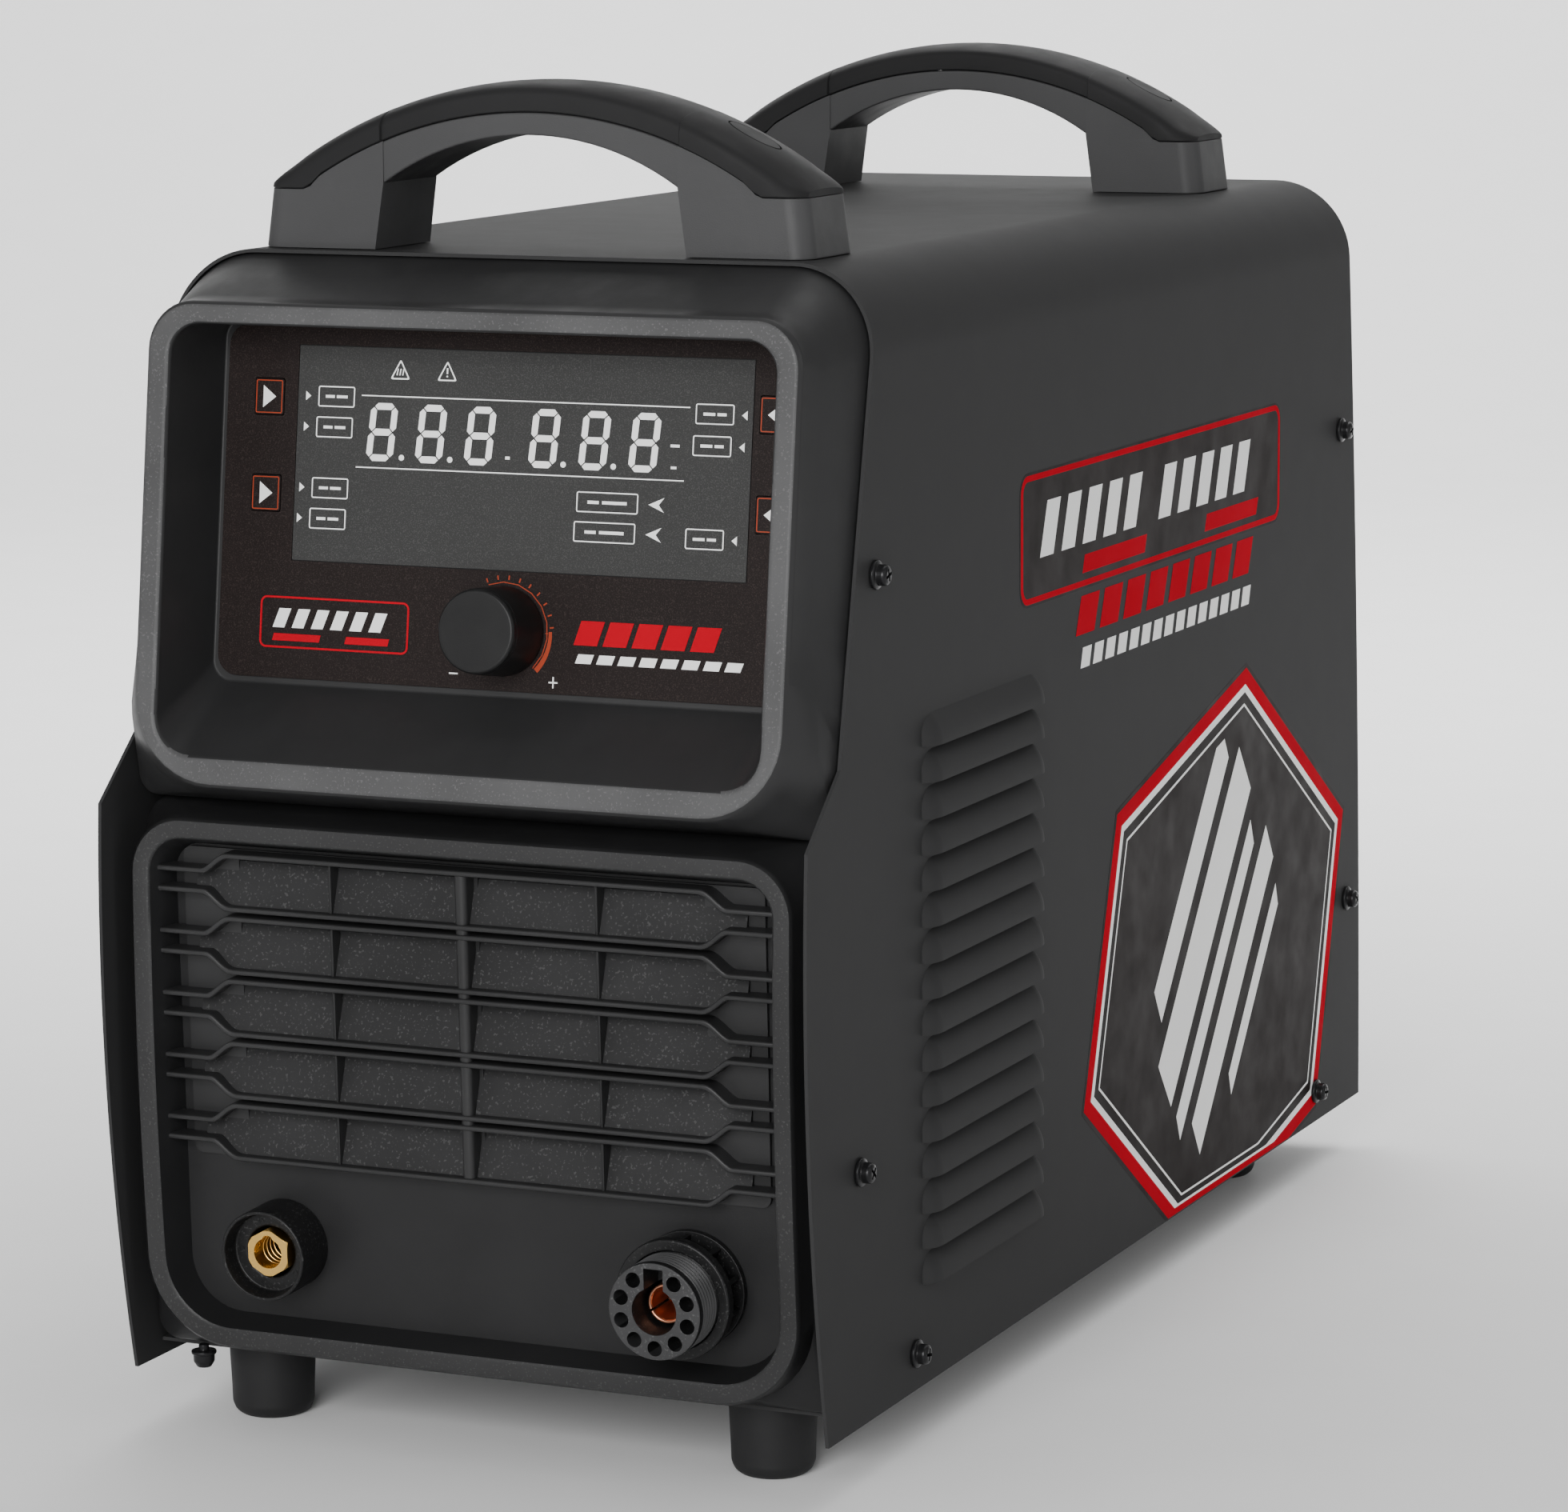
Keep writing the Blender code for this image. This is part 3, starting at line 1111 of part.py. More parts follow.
# ---------------------------------------------------------------- rear fittings
def make_fan():
    """Square axial fan behind the rear plate, its rotor, and a ring guard outside."""
    half = FAN_SIZE / 2
    back = -WALL - GAP
    outline = [(x, y + FAN_CENTRE) for x, y in rounded_rect(-half, half, -half, half, mm(8), mm(8), 2)]
    bore = circle((0, FAN_CENTRE), FAN_BORE - mm(2), 32)
    add("fan_frame", slab([outline, bore], back - FAN_DEPTH, back, REAR), "black_abs", smooth=35)
    centre = on_plane(REAR, 0, FAN_CENTRE, back - FAN_DEPTH / 2)
    hub_frame = REAR @ Matrix.Translation((0, FAN_CENTRE, back - FAN_DEPTH / 2))
    depth = FAN_DEPTH / 2 - mm(3)
    hub = FAN_HUB / 2
    profile = [(0, depth), (hub - mm(2), depth), (hub, depth - mm(2)), (hub, -depth), (0, -depth)]
    rotor = add("fan_rotor", turned(profile, hub_frame, ROUND_STEPS), "black_abs", origin=centre, smooth=35)
    tip = FAN_BORE / 2 - mm(4)
    pitch = math.radians(38)
    blades = []
    for i in range(FAN_BLADES):
        blade = block((hub - mm(3), -mm(15), -mm(1)), (tip, mm(15), mm(1)))
        blade.transform(hub_frame @ Matrix.Rotation(2 * math.pi * i / FAN_BLADES, 4, "Z")
                        @ Matrix.Rotation(pitch, 4, "X"))
        blades.append(blade)
    fuse(rotor, merged(blades), "blades")
    rings = []
    wire = GUARD_WIRE
    outer = FAN_BORE / 2 + mm(5)
    for i in range(GUARD_RINGS):
        radius = outer - i * GUARD_STEP
        sides = ROUND_STEPS - 4 * i
        rings.append(slab([circle((0, FAN_CENTRE), 2 * radius, sides),
                           circle((0, FAN_CENTRE), 2 * radius - 2 * wire, sides)],
                          GAP + mm(1), GAP + mm(1) + wire, REAR))
    guard = add("fan_guard", merged(rings), "zinc_steel", smooth=35)
    spokes = []
    for angle in (45, 135):
        spoke = block((-outer + wire / 2, -wire / 2, GAP), (outer - wire / 2, wire / 2, GAP + mm(2)))
        turn = Matrix.Rotation(math.radians(angle), 4, "Z")
        spoke.transform(REAR @ Matrix.Translation((0, FAN_CENTRE, 0)) @ turn)
        spokes.append(spoke)
    fuse(guard, spokes[0], "spoke_one")
    fuse(guard, spokes[1], "spoke_two")


def make_breaker():
    """Three-pole mains breaker in the rear plate, with its tied lever."""
    half = BREAKER_HEIGHT / 2
    reach = BREAKER_NOSE / 2
    shoulder = REAR_PLATE - WALL - GAP
    back = shoulder - BREAKER_DEPTH
    nose = REAR_PLATE + BREAKER_NOSE_PROUD
    outline = [(back, BREAKER_Z - half), (shoulder, BREAKER_Z - half), (shoulder, BREAKER_Z - reach),
               (nose, BREAKER_Z - reach), (nose, BREAKER_Z + reach), (shoulder, BREAKER_Z + reach),
               (shoulder, BREAKER_Z + half), (back, BREAKER_Z + half)]
    side = BREAKER_WIDTH / 2
    body = add("breaker_body", slab([outline], BREAKER_X - side, BREAKER_X + side, SIDE), "grey_plastic")
    axis_y = nose - mm(2)
    pocket = rod(SIDE, axis_y, BREAKER_Z, 2 * LEVER_RADIUS + 2 * MOVING_PLAY,
                 BREAKER_X - side + mm(5), BREAKER_X + side - mm(5), 20)
    cut(body, pocket, "lever_pocket")
    inner = side - mm(5) - MOVING_PLAY
    barrel = rod(SIDE, axis_y, BREAKER_Z, 2 * LEVER_RADIUS, BREAKER_X - inner, BREAKER_X + inner, 20)
    pivot = Vector((BREAKER_X, axis_y, BREAKER_Z))
    lever = add("breaker_lever", barrel, "black_abs", smooth=35, origin=pivot)
    paddle = block((-inner + mm(1), 0, -LEVER_THICKNESS / 2),
                   (inner - mm(1), LEVER_LENGTH, LEVER_THICKNESS / 2))
    paddle.transform(Matrix.Translation(pivot) @ Matrix.Rotation(-LEVER_SWING, 4, "X"))
    fuse(lever, paddle, "paddle")


def make_rear_fittings():
    """Mains cable gland, compressed-air inlet and earthing stud."""
    shank = GLAND_SHANK / 2
    inside = -WALL - GAP
    gland = [(mm(6.5), mm(26)), (mm(11), mm(26)), (mm(14), mm(21)), (mm(15.5), mm(7)), (mm(17.5), mm(6)),
             (mm(17.5), GAP), (shank, GAP), (shank, inside - mm(9)), (mm(6.5), inside - mm(9))]
    add("cable_gland", turned(gland, REAR @ Matrix.Translation((INLET_X, INLET_Z, 0)), 18, ring=True),
        "black_abs", smooth=35)
    thread = INLET_SHANK / 2
    inlet = [(mm(3.5), mm(34)), (mm(5), mm(34)), (mm(6.2), mm(30)), (mm(5.2), mm(29.5)), (mm(6.2), mm(24)),
             (mm(5.2), mm(23.5)), (mm(5.2), mm(14)), (mm(11), mm(13)), (mm(11), GAP), (thread, GAP),
             (thread, inside - mm(12)), (mm(3.5), inside - mm(12))]
    add("air_inlet", turned(inlet, REAR @ Matrix.Translation((-INLET_X, INLET_Z, 0)), 14, ring=True),
        "brass", smooth=35)
    stud = STUD_DIAMETER / 2
    bolt = [(0, mm(24)), (stud - mm(0.8), mm(24)), (stud, mm(23)), (stud, mm(12)), (mm(8), mm(11)),
            (mm(8), GAP), (stud, GAP), (stud, inside - mm(8)), (0, inside - mm(8))]
    add("ground_stud", turned(bolt, REAR @ Matrix.Translation((0, STUD_Z, 0)), 16), "zinc_steel", smooth=35)


# ---------------------------------------------------------------- inside
def make_internals():
    """Partition, heatsink, transformer, choke, capacitor, board and air valve."""
    floor = TRAY_TOP + GAP
    rear = REAR_PLATE - FAN_DEPTH - mm(22)
    flange = PARTITION_FLANGE
    outline = [(0, floor), (flange, floor), (flange, floor + SHEET), (SHEET, floor + SHEET),
               (SHEET, floor + PARTITION_HEIGHT), (0, floor + PARTITION_HEIGHT)]
    add("centre_partition", slab([outline], -rear, -PARTITION_FRONT, FRONT), "zinc_steel")
    make_heatsink()
    make_transformer(floor)
    edge = mm(3)
    radius = CHOKE_DIAMETER / 2
    choke = [(mm(20), mm(36)), (radius - edge, mm(36)), (radius, mm(36) - edge), (radius, edge),
             (radius - edge, 0), (mm(20), 0)]
    middle = (PARTITION_FLANGE + INSIDE - SHEET) / 2
    place = Matrix.Translation((middle, CHOKE_Y, floor))
    add("output_choke", turned(choke, place, 20, ring=True), "winding", smooth=35)
    radius = CAPACITOR_DIAMETER / 2
    can = [(0, CAPACITOR_HEIGHT), (radius - mm(1.5), CAPACITOR_HEIGHT),
           (radius, CAPACITOR_HEIGHT - mm(1.5)), (radius, 0), (0, 0)]
    place = Matrix.Translation((CAPACITOR_SIDE_INSET - HALF, CAPACITOR_Y, floor))
    add("bus_capacitor", turned(can, place, 20), "black_abs", smooth=35)
    board = block((BOARD_X - BOARD_THICKNESS, BOARD_FRONT, BOARD_LOW), (BOARD_X, BOARD_REAR, BOARD_HIGH))
    pcb = add("control_board", board, "circuit_board")
    inset = mm(8)
    posts = [rod(SIDE, y, z, mm(6), BOARD_X - BOARD_THICKNESS / 2, -GAP, 8)
             for y in (BOARD_FRONT + inset, BOARD_REAR - inset)
             for z in (BOARD_LOW + inset, BOARD_HIGH - inset)]
    fuse(pcb, merged(posts), "standoffs")
    x, reach = HALF - VALVE_SIDE_INSET, VALVE_SIZE / 2
    valve = block((x - reach, VALVE_Y - reach, floor), (x + reach, VALVE_Y + reach, floor + VALVE_SIZE))
    solenoid = add("air_valve", valve, "brass")
    coil = rod(FLOOR, x, VALVE_Y, VALVE_SIZE - mm(4), floor + VALVE_SIZE / 2, floor + mm(68), 16)
    fuse(solenoid, coil, "coil")


def make_heatsink():
    """Finned bar against the partition."""
    face = SHEET + GAP
    root = face + mm(8)
    tip = face + HEATSINK_REACH
    fin = mm(3)
    pitch = (HEATSINK_HIGH - HEATSINK_LOW - fin) / (HEATSINK_FINS - 1)
    comb = [(face, HEATSINK_HIGH), (face, HEATSINK_LOW)]
    for i in range(HEATSINK_FINS):
        z = HEATSINK_LOW + i * pitch
        comb += [(tip, z), (tip, z + fin)]
        if i < HEATSINK_FINS - 1:
            comb += [(root, z + fin), (root, z + pitch)]
    add("heatsink", slab([comb], -HEATSINK_REAR, -HEATSINK_FRONT, FRONT), "aluminium")


def make_transformer(floor):
    """Core with two windows and a winding round its middle leg."""
    x = CORE_SIDE_INSET - HALF
    z = floor + CORE_WIDTH / 2
    side = CORE_WIDTH / 2
    outer = side - mm(13)
    tall = side - mm(17)
    core = rounded_rect(x - side, x + side, floor, floor + CORE_WIDTH, mm(1), mm(1), 1)
    windows = [rounded_rect(x + a, x + b, z - tall, z + tall, mm(1), mm(1), 1)
               for a, b in ((-outer, -CORE_LEG), (CORE_LEG, outer))]
    add("transformer_core", slab([core] + windows, -CORE_REAR, -CORE_FRONT, FRONT), "ferrite")
    leg = CORE_LEG + GAP
    middle = (CORE_FRONT + CORE_REAR) / 2
    inner_y = (CORE_REAR - CORE_FRONT) / 2 + GAP
    outer_y = inner_y + WINDING_REACH - mm(14)
    ring = rounded_rect(x - WINDING_REACH, x + WINDING_REACH, middle - outer_y, middle + outer_y,
                        mm(8), mm(8), 3)
    hole = rounded_rect(x - leg, x + leg, middle - inner_y, middle + inner_y, mm(0.4), mm(0.4), 1)
    height = tall - mm(3)
    add("transformer_winding", slab([ring, hole], z - height, z + height, FLOOR), "winding")


def main():
    place_machine()
    make_cover()
    make_base_tray()
    make_rear_panel()
    make_side_screws()
    make_front_hood()
    make_lower_panel()
    make_front_grille()
    make_console()
    make_earth_socket()
    make_torch_socket()
    make_handle("handle_front", HANDLE_FRONT)
    make_handle("handle_rear", HANDLE_FRONT + HANDLE_SPACING)
    make_feet()
    make_fan()
    make_breaker()
    make_rear_fittings()
    make_internals()


main()
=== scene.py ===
"""Plasma cutter unit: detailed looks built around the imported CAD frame.

Pieces are drawn in millimetres in the machine frame (y = 0 just behind the cover's front belly,
z = 0 at the cover's lower edge) and carried to the row frame, in metres, by WORLD.
"""
import math

import bmesh
import bpy
from mathutils import Matrix, Vector


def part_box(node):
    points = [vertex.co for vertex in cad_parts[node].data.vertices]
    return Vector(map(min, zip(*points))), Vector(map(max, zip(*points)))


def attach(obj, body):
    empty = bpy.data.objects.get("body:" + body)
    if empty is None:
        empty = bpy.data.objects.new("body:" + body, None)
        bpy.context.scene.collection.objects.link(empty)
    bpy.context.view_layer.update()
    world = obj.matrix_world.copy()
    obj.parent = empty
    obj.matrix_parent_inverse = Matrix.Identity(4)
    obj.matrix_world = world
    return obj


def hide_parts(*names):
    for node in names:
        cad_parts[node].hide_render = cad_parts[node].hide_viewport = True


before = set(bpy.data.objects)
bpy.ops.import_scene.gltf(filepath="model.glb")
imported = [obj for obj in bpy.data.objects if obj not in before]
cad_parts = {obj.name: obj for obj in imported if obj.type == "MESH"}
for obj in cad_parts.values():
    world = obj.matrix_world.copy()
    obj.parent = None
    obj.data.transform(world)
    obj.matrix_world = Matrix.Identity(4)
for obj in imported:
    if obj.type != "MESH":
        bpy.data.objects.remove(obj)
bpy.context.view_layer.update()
SCENE = bpy.context.scene

# ---------------------------------------------------------------- dimensions, mm
HALF, TOP, LENGTH, SHEET, GAP, WALL = 160.0, 470.0, 708.0, 1.5, 0.3, 3.0
WAIST, BELLY_DROP, BELLY_RADIUS, BELLY_FRONT = 245.0, 57.0, 900.0, -6.3
SHOULDER_RISE, SHOULDER_SETBACK, BROW_SETBACK = 28.0, 33.0, 71.6
INSIDE, INSIDE_TOP, INSIDE_RADIUS = HALF - 1.8, TOP - 1.8, 35.7
REAR_PLATE = 662.0
HANDLE_FRONT, HANDLE_DEPTH, HANDLE_HALF, HANDLE_SPACING = 80.5, 49.7, 122.0, 470.0

ORIGIN_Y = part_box("handle_front_body")[0].y * 1000 - HANDLE_FRONT
ORIGIN_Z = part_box("cover")[0].z * 1000
WORLD = Matrix.Scale(0.001, 4) @ Matrix.Translation((0, ORIGIN_Y, ORIGIN_Z))


def plane(origin, across, up):
    """Matrix of a drawing plane: x and y lie in it, z points out of it."""
    across, up = Vector(across).normalized(), Vector(up).normalized()
    matrix = Matrix((across, up, across.cross(up))).transposed().to_4x4()
    matrix.translation = Vector(origin)
    return matrix


FLOOR = Matrix.Identity(4)
FRONT = plane((0, 0, 0), (1, 0, 0), (0, 0, 1))
REAR = plane((0, REAR_PLATE, 0), (-1, 0, 0), (0, 0, 1))
SIDE = plane((0, 0, 0), (0, 1, 0), (0, 0, 1))
RIM_RISE, RIM_HEIGHT, RIM_HALF = 198.0, 199.57, 147.0
CONSOLE = plane((0, -1, 254), (1, 0, 0), (0, 25, RIM_RISE))
PLATE = plane((0, 25, 26), (1, 0, 0), (0, -6.5, 201))
OVERLAY_FACE = -38.9
KNOB_AXIS = (3.0, 70.0)


# ---------------------------------------------------------------- outlines
def arc(centre, radius, start, end, steps):
    return [(centre[0] + radius * math.cos(math.radians(start + (end - start) * i / steps)),
             centre[1] + radius * math.sin(math.radians(start + (end - start) * i / steps)))
            for i in range(steps + 1)]


def rounded(left, right, low, high, foot, top=None, steps=6, side_steps=1):
    """Rounded rectangle from its lower right corner, anticlockwise."""
    top = foot if top is None else top
    sides = [low + foot + (high - top - low - foot) * i / side_steps for i in range(1, side_steps)]
    return (arc((right - foot, low + foot), foot, -90, 0, steps) + [(right, y) for y in sides]
            + arc((right - top, high - top), top, 0, 90, steps)
            + arc((left + top, high - top), top, 90, 180, steps) + [(left, y) for y in reversed(sides)]
            + arc((left + foot, low + foot), foot, 180, 270, steps))


def circle(x, y, diameter, steps=40):
    return arc((x, y), diameter / 2, 0, 360 - 360 / steps, steps - 1)


def ring_outline(left, right, low, high, radius, width):
    """A thin frame as its outer and inner outlines."""
    return [rounded(left, right, low, high, radius),
            rounded(left + width, right - width, low + width, high - width, max(radius - width, 0.1))]


def bar(left, right, low, high, slant=0.0):
    """A bar whose top is shifted sideways by its slant."""
    return [(left, low), (right, low), (right + slant, high), (left + slant, high)]


def belly_y(z):
    lift = z - (WAIST - BELLY_DROP)
    return BELLY_FRONT + BELLY_RADIUS - math.sqrt(BELLY_RADIUS ** 2 - lift ** 2)


def brow_y(z):
    low_y, low_z = belly_y(WAIST) + SHOULDER_SETBACK, WAIST + SHOULDER_RISE
    return low_y + (BROW_SETBACK - low_y) * (z - low_z) / (TOP - low_z)


def rear_y(z):
    share = z / TOP
    return LENGTH - 34 * share + 24 * share * (1 - share)


def side_outline(inset=0.0):
    front = [(belly_y(WAIST * i / 24) + inset, WAIST * i / 24) for i in range(25)]
    front += [(brow_y(z) + inset, z) for z in (WAIST + SHOULDER_RISE, TOP + 5)]
    rear = [(rear_y(TOP * i / 18) - inset, TOP * i / 18) for i in range(19)]
    rear[-1] = (rear[-1][0], TOP + 5)
    return front + rear[::-1]


def arch_outline(half, top, radius, steps=16):
    return ([(-half, 0), (half, 0)] + arc((half - radius, top - radius), radius, 0, 90, steps)
            + arc((-half + radius, top - radius), radius, 90, 180, steps))


# ---------------------------------------------------------------- mesh making
def evaluated(obj, matrix=FLOOR, weld=0.004):
    """The object's mesh with its modifiers, welded and moved; the object is removed."""
    SCENE.collection.objects.link(obj)
    mesh = bpy.data.meshes.new_from_object(obj.evaluated_get(bpy.context.evaluated_depsgraph_get()))
    bpy.data.objects.remove(obj, do_unlink=True)
    work = bmesh.new()
    work.from_mesh(mesh)
    bmesh.ops.remove_doubles(work, verts=work.verts, dist=weld)
    bmesh.ops.recalc_face_normals(work, faces=work.faces)
    work.to_mesh(mesh)
    work.free()
    mesh.transform(matrix)
    return mesh


def slab(outlines, low, high, matrix=FLOOR, edge=0.0, segments=2):
    """A flat outline with holes, extruded from low to high, with rounded edges."""
    curve = bpy.data.curves.new("outline", "CURVE")
    curve.dimensions = "2D"
    curve.fill_mode = "BOTH"
    curve.extrude = (high - low) / 2 - edge
    curve.bevel_depth = edge
    curve.offset = -edge
    curve.bevel_resolution = segments
    for outline in outlines:
        spline = curve.splines.new("POLY")
        spline.points.add(len(outline) - 1)
        for point, (x, y) in zip(spline.points, outline):
            point.co = (x, y, 0, 1)
        spline.use_cyclic_u = True
    return evaluated(bpy.data.objects.new("outline", curve),
                     matrix @ Matrix.Translation((0, 0, (low + high) / 2)))


def turned(profile, matrix=FLOOR, steps=64, ring=False):
    """A profile (radius, height) turned about the plane's normal."""
    mesh = bpy.data.meshes.new("profile")
    count = len(profile)
    edges = [(i, i + 1) for i in range(count - 1)] + ([(count - 1, 0)] if ring else [])
    mesh.from_pydata([(r, 0, z) for r, z in profile], edges, [])
    obj = bpy.data.objects.new("profile", mesh)
    screw = obj.modifiers.new("turn", "SCREW")
    screw.steps = screw.render_steps = steps
    screw.use_merge_vertices = True
    screw.merge_threshold = 0.01
    return evaluated(obj, matrix)


def filleted(points, radius, steps=3, closed=True):
    """The profile with its corners rounded off."""
    made = []
    count = len(points)
    for i, point in enumerate(points):
        if not closed and i in (0, count - 1):
            made.append(point)
            continue
        here, before, after = Vector(point), Vector(points[i - 1]), Vector(points[(i + 1) % count])
        a, b = before - here, after - here
        reach = min(radius, a.length * 0.45, b.length * 0.45)
        start, end = here + a.normalized() * reach, here + b.normalized() * reach
        if reach < 0.05 or abs(a.normalized().dot(b.normalized())) > 0.985:
            made.append(point)
            continue
        for k in range(steps + 1):
            t = k / steps
            made.append(tuple(start * (1 - t) ** 2 + here * 2 * t * (1 - t) + end * t * t))
    return made


def loft(loops, cap=True):
    """Mesh through closed loops with equally many points."""
    work = bmesh.new()
    rows = [[work.verts.new(point) for point in loop] for loop in loops]
    for row, following in zip(rows, rows[1:]):
        for i, vert in enumerate(row):
            j = (i + 1) % len(row)
            work.faces.new((vert, row[j], following[j], following[i]))
    if cap:
        work.faces.new(rows[0])
        work.faces.new(rows[-1])
    bmesh.ops.recalc_face_normals(work, faces=work.faces)
    mesh = bpy.data.meshes.new("loft")
    work.to_mesh(mesh)
    work.free()
    return mesh


def merged(meshes):
    work = bmesh.new()
    for mesh in meshes:
        work.from_mesh(mesh)
    made = bpy.data.meshes.new("merged")
    work.to_mesh(made)
    work.free()
    return made


def moved(mesh, matrix):
    copy = mesh.copy()
    copy.transform(matrix)
    return copy


def combine(mesh, tool, operation):
    """Boolean of two meshes."""
    obj, other = bpy.data.objects.new("work", mesh), bpy.data.objects.new("tool", tool)
    SCENE.collection.objects.link(other)
    modifier = obj.modifiers.new("join", "BOOLEAN")
    modifier.operation = operation
    modifier.solver = "EXACT"
    modifier.object = other
    made = evaluated(obj, weld=0.0005)
    bpy.data.objects.remove(other, do_unlink=True)
    return made


def cut(mesh, *tools):
    return combine(mesh, merged(tools), "DIFFERENCE")


def softened(mesh, width, angle=30, segments=2):
    """The mesh with every edge sharper than an angle rounded off."""
    obj = bpy.data.objects.new("work", mesh)
    modifier = obj.modifiers.new("soften", "BEVEL")
    modifier.width = width
    modifier.segments = segments
    modifier.limit_method = "ANGLE"
    modifier.angle_limit = math.radians(angle)
    return evaluated(obj, weld=0.0005)


def rod(matrix, x, y, diameter, low, high, steps=24, edge=0.0):
    return slab([circle(x, y, diameter, steps)], low, high, matrix, edge)


def wire(points, diameter, cyclic=False):
    """A round wire along points."""
    curve = bpy.data.curves.new("wire", "CURVE")
    curve.dimensions = "3D"
    curve.bevel_depth = diameter / 2
    curve.bevel_resolution = 3
    curve.use_fill_caps = True
    spline = curve.splines.new("POLY")
    spline.points.add(len(points) - 1)
    for point, place in zip(spline.points, points):
        point.co = (*place, 1)
    spline.use_cyclic_u = cyclic
    return evaluated(bpy.data.objects.new("wire", curve))


# ---------------------------------------------------------------- materials
def finish(name, colour, rough, metal=0.0, grain=1500, bump=0.03, mottle=0.12, specks=0.0,
           speck_colour=(0.3, 0.3, 0.3), shine=0.25, brushed=None, wear=0.06):
    """Procedural surface: mottled colour, fine grain in roughness and bump, and light specks."""
    made = bpy.data.materials.new(name)
    made.use_nodes = True
    tree = made.node_tree
    shader = tree.nodes["Principled BSDF"]
    link = tree.links.new
    place = tree.nodes.new("ShaderNodeTexCoord").outputs["Object"]
    if brushed:
        stretch = tree.nodes.new("ShaderNodeMapping")
        stretch.inputs["Scale"].default_value = brushed
        link(place, stretch.inputs["Vector"])
        place = stretch.outputs["Vector"]

    def noise(scale, detail):
        node = tree.nodes.new("ShaderNodeTexNoise")
        node.inputs["Scale"].default_value = scale
        node.inputs["Detail"].default_value = detail
        link(place, node.inputs["Vector"])
        return node.outputs["Fac"]

    def colours(sockets):
        return {socket.name: socket for socket in sockets if socket.type == "RGBA"}

    def mixed(fac, first, second):
        node = tree.nodes.new("ShaderNodeMix")
        node.data_type = "RGBA"
        link(fac, node.inputs["Factor"])
        for name, value in (("A", first), ("B", second)):
            socket = colours(node.inputs)[name]
            if isinstance(value, tuple):
                socket.default_value = (*value, 1)
            else:
                link(value, socket)
        return colours(node.outputs)["Result"]

    def spread(fac, low, high, start=0.0, end=1.0):
        node = tree.nodes.new("ShaderNodeMapRange")
        link(fac, node.inputs["Value"])
        for name, value in (("From Min", low), ("From Max", high), ("To Min", start), ("To Max", end)):
            node.inputs[name].default_value = value
        return node.outputs["Result"]

    wide, fine = noise(14.0, 5.0), noise(grain, 2.0)
    dark = tuple(c * (1 - mottle) for c in colour)
    light = tuple(min(c * (1 + mottle), 1) for c in colour)
    tone = mixed(spread(wide, 0.3, 0.7), dark, light)
    if specks:
        tone = mixed(spread(noise(grain * 0.8, 1.0), 0.66 - 0.12 * specks, 0.74 - 0.12 * specks, 0, 0.8),
                     tone, speck_colour)
    link(tone, shader.inputs["Base Color"])
    link(spread(noise(60.0, 4.0), 0.3, 0.7, max(rough - wear, 0.05), min(rough + wear, 1)),
         shader.inputs["Roughness"])
    relief = tree.nodes.new("ShaderNodeBump")
    relief.inputs["Strength"].default_value = 0.6
    relief.inputs["Distance"].default_value = bump * 0.001
    link(fine, relief.inputs["Height"])
    link(relief.outputs["Normal"], shader.inputs["Normal"])
    shader.inputs["Metallic"].default_value = metal
    shader.inputs["Specular IOR Level"].default_value = shine
    return made


PAINT = finish("powder_coat", (0.031, 0.031, 0.0315), 0.6, grain=2600, bump=0.03, mottle=0.01, shine=0.06,
               wear=0.01)
ABS = finish("black_abs", (0.0125, 0.0125, 0.013), 0.46, bump=0.05, mottle=0.2)
HOOD = finish("hood_abs", (0.02, 0.02, 0.0205), 0.46, bump=0.05, mottle=0.12)
# Lighter grey for the console rim's front face: painted sheen standing in for the studio light this face catches,
# with dark specks for its grain.
ABS_SHEEN_FACE = finish("abs_face_painted_sheen", (0.062, 0.062, 0.063), 0.5, grain=1300, bump=0.07, mottle=0.22,
                  specks=0.35, speck_colour=(0.1, 0.1, 0.1))
FRAME_FACE = finish("frame_face", (0.021, 0.021, 0.0215), 0.48, grain=1300, bump=0.06, mottle=0.2,
                    specks=0.3, speck_colour=(0.05, 0.05, 0.05))
GRILLE = finish("grille_abs", (0.02, 0.02, 0.0205), 0.42, bump=0.05, mottle=0.2)
BLADE = finish("dusty_blade", (0.0125, 0.0125, 0.013), 0.6, grain=1100, bump=0.06, mottle=0.25, specks=0.35,
               speck_colour=(0.05, 0.05, 0.05))
HANDLE = finish("handle_grey", (0.045, 0.045, 0.046), 0.52, grain=1700, bump=0.07, mottle=0.08)
CAP = finish("handle_cap", (0.015, 0.015, 0.0154), 0.55, grain=1700, bump=0.04, mottle=0.1, shine=0.12)
RUBBER = finish("rubber", (0.012, 0.012, 0.0125), 0.62, grain=1200, bump=0.06, mottle=0.25)
FILM = finish("overlay_film", (0.0105, 0.007, 0.0065), 0.5, grain=2600, bump=0.02, mottle=0.06, specks=0.9,
              speck_colour=(0.032, 0.023, 0.021), shine=0.12)
WINDOW = finish("window_film", (0.033, 0.033, 0.0325), 0.5, grain=2600, bump=0.02, mottle=0.04, specks=0.9,
                speck_colour=(0.06, 0.06, 0.059), shine=0.12)
WHITE = finish("white_print", (0.86, 0.86, 0.85), 0.5, bump=0.01, mottle=0.02, shine=0.1)
RED = finish("red_print", (0.42, 0.0, 0.012), 0.75, bump=0.01, mottle=0.05, shine=0.02)
ORANGE = finish("orange_print", (0.3, 0.034, 0.008), 0.5, bump=0.01, mottle=0.08)
INK = finish("dark_print", (0.008, 0.005, 0.0045), 0.5, bump=0.01, mottle=0.08, shine=0.06)
KNOB = finish("knob_black", (0.009, 0.009, 0.0092), 0.42, bump=0.05, mottle=0.2)
SOCKET_FACE = finish("socket_face", (0.034, 0.034, 0.035), 0.45, grain=1200, bump=0.07, mottle=0.2, specks=0.3,
                     speck_colour=(0.09, 0.09, 0.09))
